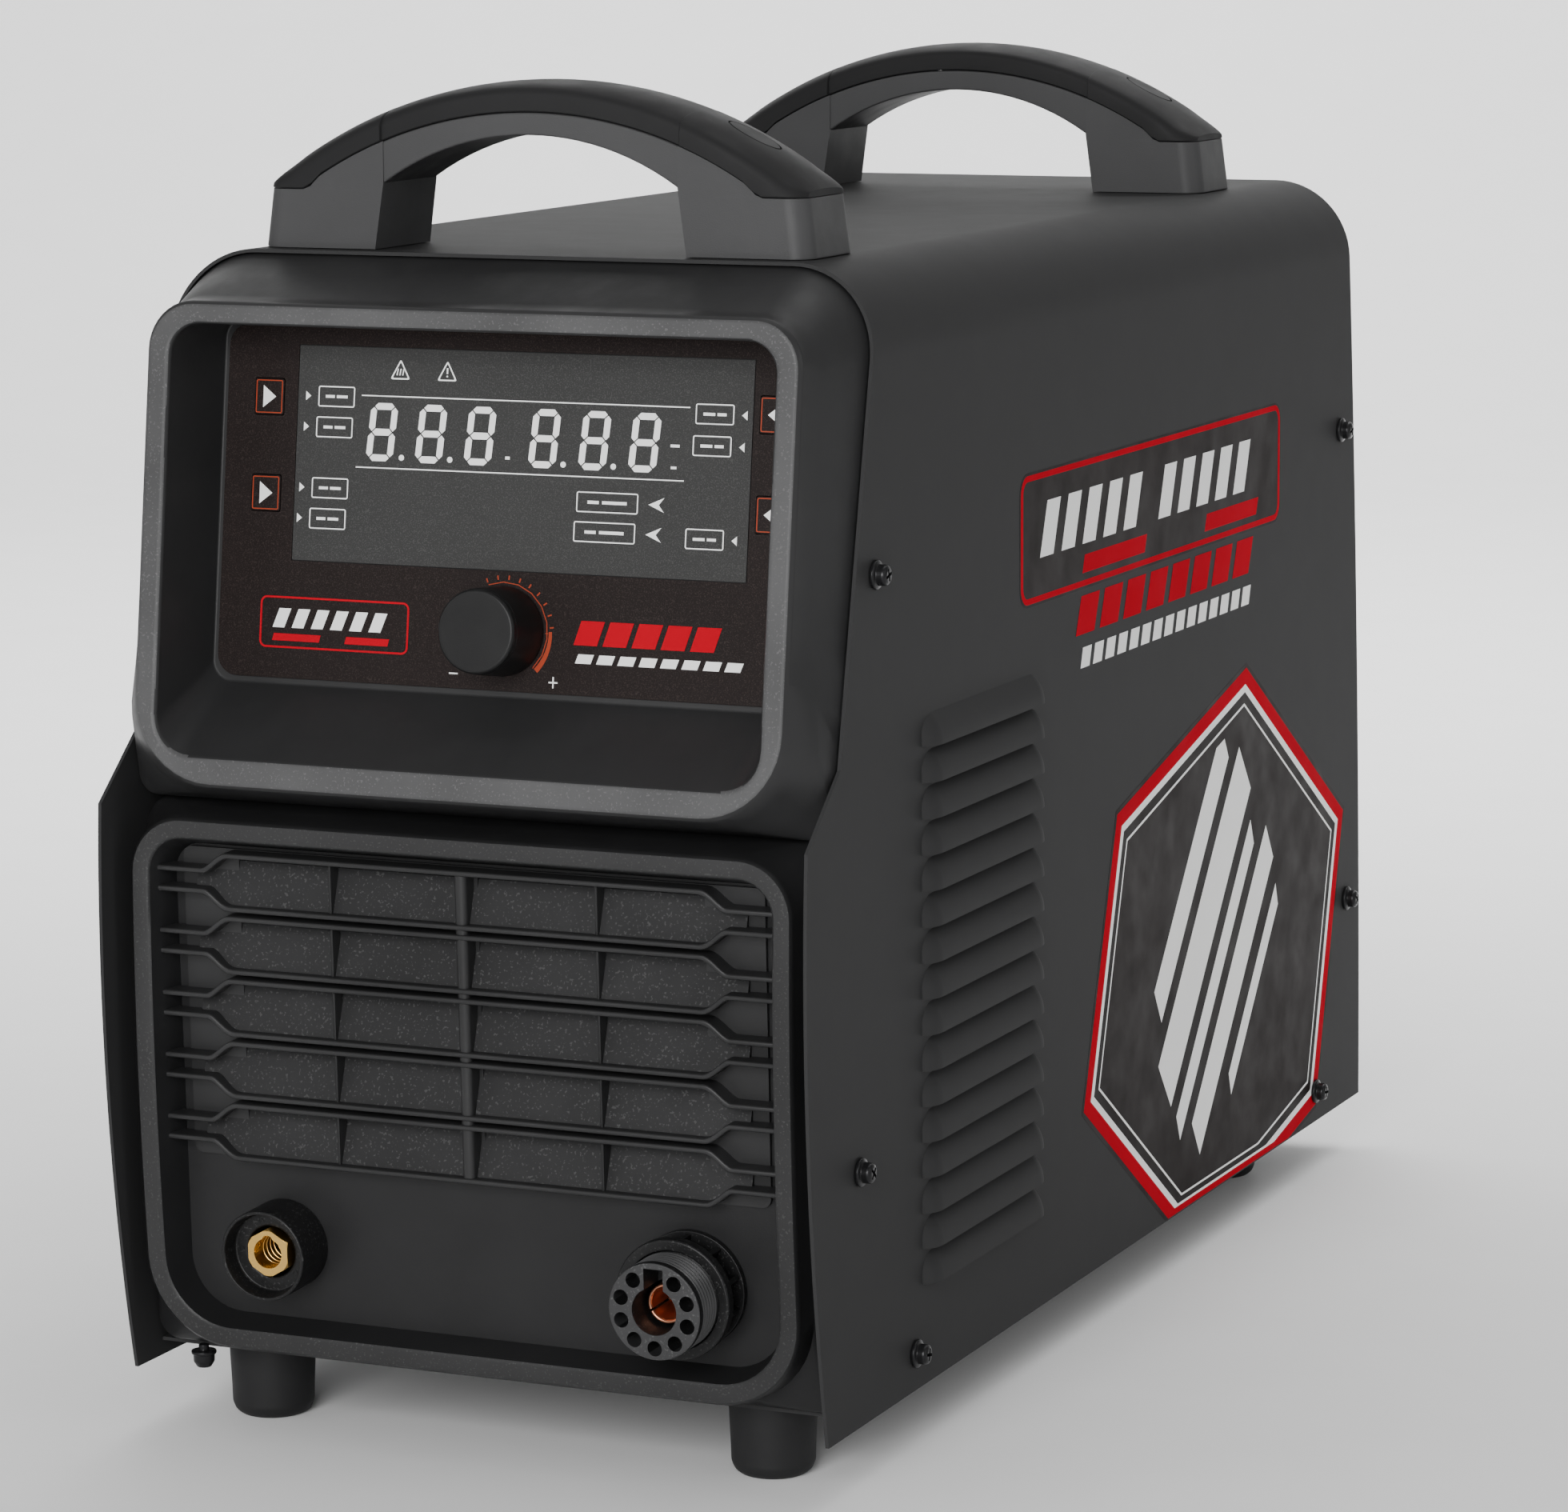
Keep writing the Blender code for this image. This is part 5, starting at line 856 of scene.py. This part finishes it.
def end_taper(x):
    over = max(abs(x) - (HANDLE_HALF - 9), 0) / 9
    return 9 * (1 - math.sqrt(max(1 - (over * 0.985) ** 2, 0)))


PILLAR_EDGE = 68.0


def cap_section(x, step, base, front, rear):
    """Section of the cap: upright foot, rounded shoulders and a crowned top."""
    taper, middle = end_taper(x) + step, (front + rear) / 2
    low, high = base + split_z(x), base + cap_top_z(x)
    edge = max(high - 5.3 - 6.5 * (x / HANDLE_HALF) ** 2, low + 1)
    y0, y1 = front + taper, rear - taper
    half = [(y0 + 0.5, low), (y0, low + 0.5), (y0, edge - 0.4)]
    width = middle - y0
    for k in range(1, 8):
        t = k / 7
        y = y0 + width * (1 - math.cos(t * math.pi / 2)) ** 0.9
        z = edge + (high - edge) * math.sin(t * math.pi / 2) ** 0.75
        half.append((y, z))
    back = [(y0 + y1 - y, z) for y, z in half[-2::-1]]
    return [Vector((x, y, z)) for y, z in half + back]


def make_handle(name, front):
    base, rear = TOP + GAP, front + HANDLE_DEPTH
    edge = PILLAR_EDGE
    inner, spring = 71.0, 48 - 20.5
    under = [(x, base + 48 - circle_drop(x, inner - 4, 20.5)) for x in
             [(inner - 4) * (1 - 2 * i / 24) for i in range(25)]]
    ends = [edge + 5, *[edge * (1 - 2 * i / 28) for i in range(29)], -edge - 5]
    top = [(x, base + split_z(x) - GAP) for x in ends]
    arch = slab([top + [(-edge - 5, base + spring - 3), *reversed(under), (edge + 5, base + spring - 3)]],
                -rear + 1.3, -front - 1.3, FRONT, 0.9, 3)
    parts = [arch]
    for sign in (1, -1):
        tops = [inner - 4 + (HANDLE_HALF - inner + 4) * i / 16 for i in range(17)]
        outline = [(sign * 126, base), *[(sign * x, base + split_z(x) - GAP) for x in reversed(tops)],
                   (sign * (inner - 4), base + spring), (sign * inner, base)]
        outline.insert(1, (sign * 126, base + split_z(HANDLE_HALF) - GAP))
        sides = slab([outline if sign > 0 else outline[::-1]], -rear - 5, 5 - front, FRONT)
        levels = []
        for z, out, back in ((0, 125, 0), (0.6, 125.2, 0), (24, 122.2, 0.6), (26, 122, 0.7), (60, 122, 1.2)):
            near, far = sorted((sign * (inner - 5), sign * out))
            corners = (0.4, 9) if sign > 0 else (9, 0.4)
            plan = (arc((far - corners[1], front + back + corners[1]), corners[1], -90, 0, 8)
                    + arc((far - corners[1], rear - back - corners[1]), corners[1], 0, 90, 8)
                    + arc((near + corners[0], rear - back - corners[0]), corners[0], 90, 180, 8)
                    + arc((near + corners[0], front + back + corners[0]), corners[0], 180, 270, 8))
            levels.append([Vector((x, y, base + z)) for x, y in plan])
        parts.append(softened(combine(loft(levels), sides, "INTERSECT"), 0.5, 50, 2))
    show(f"{name}_frame", merged(parts), HANDLE, [f"{name}_body"], smooth=38)
    stations = [HANDLE_HALF * math.sin(math.pi / 2 * i / 26) for i in range(27)]
    places = []
    for x in stations:
        step = 1.3 if x < edge else 0.0
        if places and places[-1][1] > step:
            places += [(edge - 0.3, 1.3), (edge, 0.35), (edge + 0.3, 0.0)]
        places.append((x, step))
    places = [(-x, s) for x, s in reversed(places[1:])] + places
    cap = loft([cap_section(x, step, base, front, rear) for x, step in places])
    seats, middle = [], (front + rear) / 2
    for side, sign in (("left", -1), ("right", 1)):
        x = sign * (HANDLE_HALF - 31)
        slope = (cap_top_z(abs(x) + 5) - cap_top_z(abs(x) - 5)) / 10
        seat = plane((x, middle, base + cap_top_z(x)), (1, 0, sign * slope), (0, 1, 0))
        seats.append(slab([[(px * 1.7, py) for px, py in circle(0, 0, 15, 40)]], -4, 6, seat))
        plug = slab([[(px * 1.7, py) for px, py in circle(0, 0, 14.2, 40)]], -3.7, -0.25, seat, 0.5, 3)
        show(f"{name}_plug_oval_{side}", plug, CAP, [f"{name}_plug_{side}"])
    cap = cut(cap, *seats)
    show(f"{name}_grip", cap, CAP, [f"{name}_cap"], smooth=40)


def make_feet():
    profile = [(0, 6.2), (18.5, 6.2), (18.4, 3), (17.6, -14), (17.45, -20.5), (16.25, -23.5), (13.85, -25.5),
               (9, -25.5), (8, -23), (0, -23)]
    for row, y in (("front", 56), ("rear", 615)):
        for side, sign in (("left", -1), ("right", 1)):
            foot = turned(filleted(profile, 1.0, 3, False), Matrix.Translation((sign * 117, y, 0)), 64)
            show(f"rubber_foot_{row}_{side}", foot, RUBBER, [f"foot_{row}_{side}"])


def make_tray_screw():
    """Small pan-head screw with a washer, beside the front left foot."""
    seat = Matrix.Translation((-137, 32, -1.5))
    profile = filleted([(0, 9), (2.2, 9), (2.2, 6.4), (5.4, 6.4), (5.4, 5.0), (4.6, 4.8), (4.5, 1.6), (3.0, -0.8),
                        (0, -1.2)], 0.5, 3, closed=False)
    screw = turned(profile, seat, 40)
    arm, tip = 0.5, 2.4
    corner = [(tip, -arm), (tip, arm), (arm, arm)]
    cross = [(x * c - y * q, x * q + y * c) for c, q in ((1, 0), (0, 1), (-1, 0), (0, -1)) for x, y in corner]
    screw = cut(screw, slab([cross], -3, 0.2, seat))
    show("tray_screw", screw, BLACK_STEEL, smooth=40)


# ---------------------------------------------------------------- side decals
def inset_polygon(points, distance):
    """A convex anticlockwise polygon moved in by a distance."""
    lines, count = [], len(points)
    for i, point in enumerate(points):
        a, b = Vector(point), Vector(points[(i + 1) % count])
        along = (b - a).normalized()
        lines.append((a + Vector((-along.y, along.x)) * distance, along))
    made = []
    for i in range(count):
        (p, d), (q, e) = lines[i - 1], lines[i]
        cross = d.x * e.y - d.y * e.x
        t = ((q.x - p.x) * e.y - (q.y - p.y) * e.x) / cross
        made.append(tuple(p + d * t))
    return made


def clipped(points, inside, meet):
    made = []
    for a, b in zip(points, points[1:] + points[:1]):
        if inside(a):
            made.append(a)
        if inside(a) != inside(b):
            made.append(meet(a, b))
    return made


def above(points, level):
    """The part of a polygon above a level."""
    return clipped(points, lambda p: p[1] >= level,
                   lambda a, b: (a[0] + (b[0] - a[0]) * (level - a[1]) / (b[1] - a[1]), level))


def make_decals():
    face = HALF - 0.02
    dark, red, white = [], [], []
    dark.append(rounded(224, 572, 312, 370, 9))
    red += ring_outline(225.2, 570.8, 313.2, 368.8, 8, 2.6)
    white += [bar(248 + i * 26, 264 + i * 26, 332, 356, 9) for i in range(5)]
    white += [bar(398 + i * 26, 414 + i * 26, 332, 356, 9) for i in range(5)]
    red += [bar(300, 380, 319, 327, 3), bar(462, 536, 319, 327, 3)]
    red += [bar(292 + i * 30, 315 + i * 30, 292, 309, 7) for i in range(8)]
    white += [bar(298 + i * 15.5, 309 + i * 15.5, 277, 286, 3) for i in range(15)]
    hexagon = [(456, -28), (638, 7), (679, 154), (524, 249), (344, 206), (301, 75)]
    low = 0.8

    def layer(inset, drop):
        return above(inset_polygon(hexagon, inset), low + drop)

    dark.append(layer(0, 0))
    frame_red = slab([layer(2.2, 0), layer(9.5, 3)], face + 0.1, face + 0.16, SIDE)
    frame_white = slab([layer(9.5, 3), layer(13, 4.2)], face + 0.1, face + 0.16, SIDE)
    line = slab([layer(18, 7), layer(19.2, 8)], face + 0.1, face + 0.16, SIDE)
    axis = math.radians(50)
    centre = (484, 112)
    stripes = []
    for u0, u1, w0, w1 in ((-62, 82, 50, 68), (-86, 88, 12, 40), (-92, 70, -10, 2), (-84, 80, -40, -20),
                           (-40, 66, -62, -52)):
        corners = [(u0, w0), (u1, w0), (u1 + 6, w1), (u0 + 6, w1)]
        stripes.append([(centre[0] + u * math.cos(axis) - w * math.sin(axis),
                         centre[1] + u * math.sin(axis) + w * math.cos(axis)) for u, w in corners])
    inner = slab([layer(24, 12)], face + 0.05, face + 0.4, SIDE)
    marks = combine(slab(stripes, face + 0.1, face + 0.16, SIDE), inner, "INTERSECT")
    show("decal_ground", slab(dark, face, face + 0.1, SIDE), INK, smooth=30)
    show("decal_red", merged([slab(red, face + 0.1, face + 0.16, SIDE), frame_red]), RED, smooth=30)
    show("decal_white", merged([slab(white, face + 0.1, face + 0.16, SIDE), frame_white, line, marks]), WHITE,
         smooth=30)


# ---------------------------------------------------------------- rear fittings
def make_rear():
    centre = REAR @ Matrix.Translation((0, 285, 0))
    guard = []
    for i in range(4):
        radius = 75 - 17 * i - 1.25
        guard.append(wire([centre @ Vector((radius * math.cos(a), radius * math.sin(a), 2.55)) for a in
                           [math.tau * k / 72 for k in range(72)]], 2.4, True))
    for angle in (45, 135):
        a = math.radians(angle)
        guard.append(wire([centre @ Vector((s * 73.5 * math.cos(a), s * 73.5 * math.sin(a), 1.55))
                           for s in (-1, 1)], 2.3))
    show("fan_guard_wires", merged(guard), ZINC, ["fan_guard"])
    hub_frame = centre @ Matrix.Translation((0, 0, -22.3))
    hub = turned(filleted([(0, 15.4), (12, 15.6), (14, 16), (26, 16), (29, 13.5), (29, -16), (0, -16)], 1.2, 3,
                          False), hub_frame, 64)
    blades = []
    for i in range(7):
        turn = hub_frame @ Matrix.Rotation(math.tau * i / 7, 4, "Z")
        rows = []
        for k in range(7):
            t = k / 6
            r, pitch, chord = 26 + 39.4 * t, math.radians(46 - 16 * t), 13.5 + 1.6 * t
            loop = []
            for side in (1, -1):
                for m in range(9):
                    u = -1 + m / 4 if side > 0 else 1 - m / 4
                    camber = 2.2 * (1 - u * u)
                    thick = 0.9 * math.sqrt(max(1 - u * u, 0.0)) + 0.12
                    a, n = u * chord, camber - 1.1 + side * thick
                    loop.append(turn @ Vector((r, a * math.cos(pitch) - n * math.sin(pitch),
                                               a * math.sin(pitch) + n * math.cos(pitch))))
            rows.append(loop)
        blades.append(loft(rows))
    show("fan_impeller", merged([hub] + blades), ABS, ["fan_rotor"], "fan_rotor", smooth=38)
    gland_frame = REAR @ Matrix.Translation((95, 75, 0))
    lobes = []
    for i in range(96):
        a = math.tau * i / 96
        r = 14.6 + 0.7 * math.cos(12 * a)
        lobes.append((r * math.cos(a), r * math.sin(a)))
    cap = slab([lobes, circle(0, 0, 20, 40)], 7, 21.6, gland_frame, 0.8, 3)
    nose = turned(filleted([(6.5, 26), (10.6, 26), (11.6, 24), (12.4, 20), (12.4, 6), (6.5, 6)], 0.6, 3),
                  gland_frame, 64, True)
    nut = slab([circle(0, 0, 35, 6), circle(0, 0, 13, 40)], GAP, 6, gland_frame, 0.6, 3)
    shank = turned([(6.5, 0.5), (12.5, 0.5), (12.5, -12.3), (6.5, -12.3)], gland_frame, 48, True)
    show("mains_gland", merged([cap, nose, nut, shank]), ABS, ["cable_gland"])
    inlet_frame = REAR @ Matrix.Translation((-95, 75, 0))
    barb = [(3.5, 34), (4.9, 34), (6.2, 30), (5.2, 29.5), (6.2, 25), (5.2, 24.5), (6.2, 20), (5.2, 19.5),
            (5.2, 13.5), (8, 12.6), (8, 7), (8, -15.3), (3.5, -15.3)]
    barb = turned(filleted(barb, 0.25, 2), inlet_frame, 56, True)
    nut = slab([circle(0, 0, 22, 6), circle(0, 0, 15.6, 40)], GAP, 9.5, inlet_frame, 0.6, 3)
    show("air_barb", merged([barb, nut]), BRASS, ["air_inlet"])
    stud_frame = REAR @ Matrix.Translation((0, 60, 0))
    thread = [(4.0 - 0.45 * (k % 2), 22.6 - 0.6 * k) for k in range(18)]
    bolt = [(0, 24), (3.1, 24), (3.9, 23)] + thread + [(3.9, 11), (3.9, -11.3), (0, -11.3)]
    nuts = [slab([circle(0, 0, 15.2, 6), circle(0, 0, 7.6, 32)], low, low + 5.2, stud_frame, 0.5, 2)
            for low in (1.8, 7.2)]
    washer = slab([circle(0, 0, 16, 40), circle(0, 0, 7.6, 32)], GAP, 1.7, stud_frame, 0.2, 2)
    show("ground_bolt", merged([turned(bolt, stud_frame, 40)] + nuts + [washer]), ZINC,
         ["ground_stud"])


def dress_the_rest():
    for node, paint, width in (
            ("rear_panel", ABS, 0.6), ("base_tray", PAINT, 0.3), ("fan_frame", ABS, 0.8),
            ("breaker_body", GREY, 0.5), ("breaker_lever", KNOB, 0.6), ("potentiometer", GREY, 0.3),
            ("display_board", BOARD, 0.2), ("control_board", BOARD, 0.2), ("centre_partition", ZINC, 0.2),
            ("heatsink", ALUMINIUM, 0.4), ("transformer_core", FERRITE, 0.5),
            ("transformer_winding", WINDING, 1.0), ("output_choke", WINDING, 0.8),
            ("bus_capacitor", KNOB, 0.5), ("air_valve", BRASS, 0.5)):
        dress(node, paint, width)


# ---------------------------------------------------------------- studio
def make_studio():
    points = [(-9.0, 0.0), (3.2, 0.0)] + [(3.2 + 1.6 * math.sin(a), 1.6 - 1.6 * math.cos(a)) for a in
                                          [math.pi / 2 * k / 16 for k in range(1, 17)]] + [(4.8, 7.0)]
    turn = Matrix.Rotation(math.radians(23.7), 4, "Z")
    work = bmesh.new()
    rows = [[work.verts.new(turn @ Vector((x, y, z))) for y, z in points] for x in (-9, 9)]
    for i in range(len(points) - 1):
        work.faces.new((rows[0][i], rows[0][i + 1], rows[1][i + 1], rows[1][i]))
    mesh = bpy.data.meshes.new("studio_sweep")
    work.to_mesh(mesh)
    work.free()
    mesh.shade_smooth()
    mesh.materials.append(finish("studio_white", (0.86, 0.86, 0.86), 0.75, grain=300, bump=0.01, mottle=0.01))
    sweep = bpy.data.objects.new("studio_sweep", mesh)
    SCENE.collection.objects.link(sweep)
    for name, place, aim, size, power in (
            ("key", (0.5, -3.4, 1.2), (0, 0, 0.3), 1.8, 120),
            ("side", (3.4, -0.6, 1.5), (0, 0, 0.2), 2.0, 22),
            ("fill", (-2.8, -2.4, 1.5), (0, 0, 0.2), 2.0, 20),
            ("overhead", (0.2, 0.6, 3.4), (0, 0.2, 0), 2.4, 30),
            ("backdrop", (-0.4, 1.8, 2.6), (-1.2, 4.0, 0.2), 3.0, 190)):
        lamp = bpy.data.lights.new(name, "AREA")
        lamp.shape = "SQUARE"
        lamp.size = size
        lamp.energy = power
        obj = bpy.data.objects.new(name, lamp)
        obj.location = place
        obj.rotation_euler = (Vector(aim) - obj.location).to_track_quat("-Z", "Y").to_euler()
        SCENE.collection.objects.link(obj)
    world = bpy.data.worlds.new("studio")
    world.use_nodes = True
    world.node_tree.nodes["Background"].inputs["Color"].default_value = (1, 1, 1, 1)
    world.node_tree.nodes["Background"].inputs["Strength"].default_value = 0.3
    SCENE.world = world


def make_camera():
    """Camera at the photograph's viewing angle."""
    turn, tilt, roll = (math.radians(d) for d in (23.69, 9.28, -0.35))
    ahead = Vector((-math.sin(turn) * math.cos(tilt), math.cos(turn) * math.cos(tilt), -math.sin(tilt)))
    right = Vector((math.cos(turn), math.sin(turn), 0))
    up = right.cross(ahead)
    across = math.cos(roll) * right + math.sin(roll) * up
    above_it = -math.sin(roll) * right + math.cos(roll) * up
    data = bpy.data.cameras.new("camera")
    data.lens = 125.07
    data.sensor_width = 36
    data.sensor_fit = "HORIZONTAL"
    camera = bpy.data.objects.new("camera", data)
    camera.matrix_world = Matrix((across, above_it, -ahead)).transposed().to_4x4()
    camera.location = (0.99284, -2.271876, 0.65175)
    SCENE.collection.objects.link(camera)
    SCENE.camera = camera


make_cover()
make_screws()
make_front_hood()
make_lower_panel()
make_grille()
make_console()
make_earth_socket()
make_torch_socket()
make_handle("handle_front", HANDLE_FRONT)
make_handle("handle_rear", HANDLE_FRONT + HANDLE_SPACING)
make_feet()
make_tray_screw()
make_decals()
make_rear()
dress_the_rest()
make_studio()
make_camera()
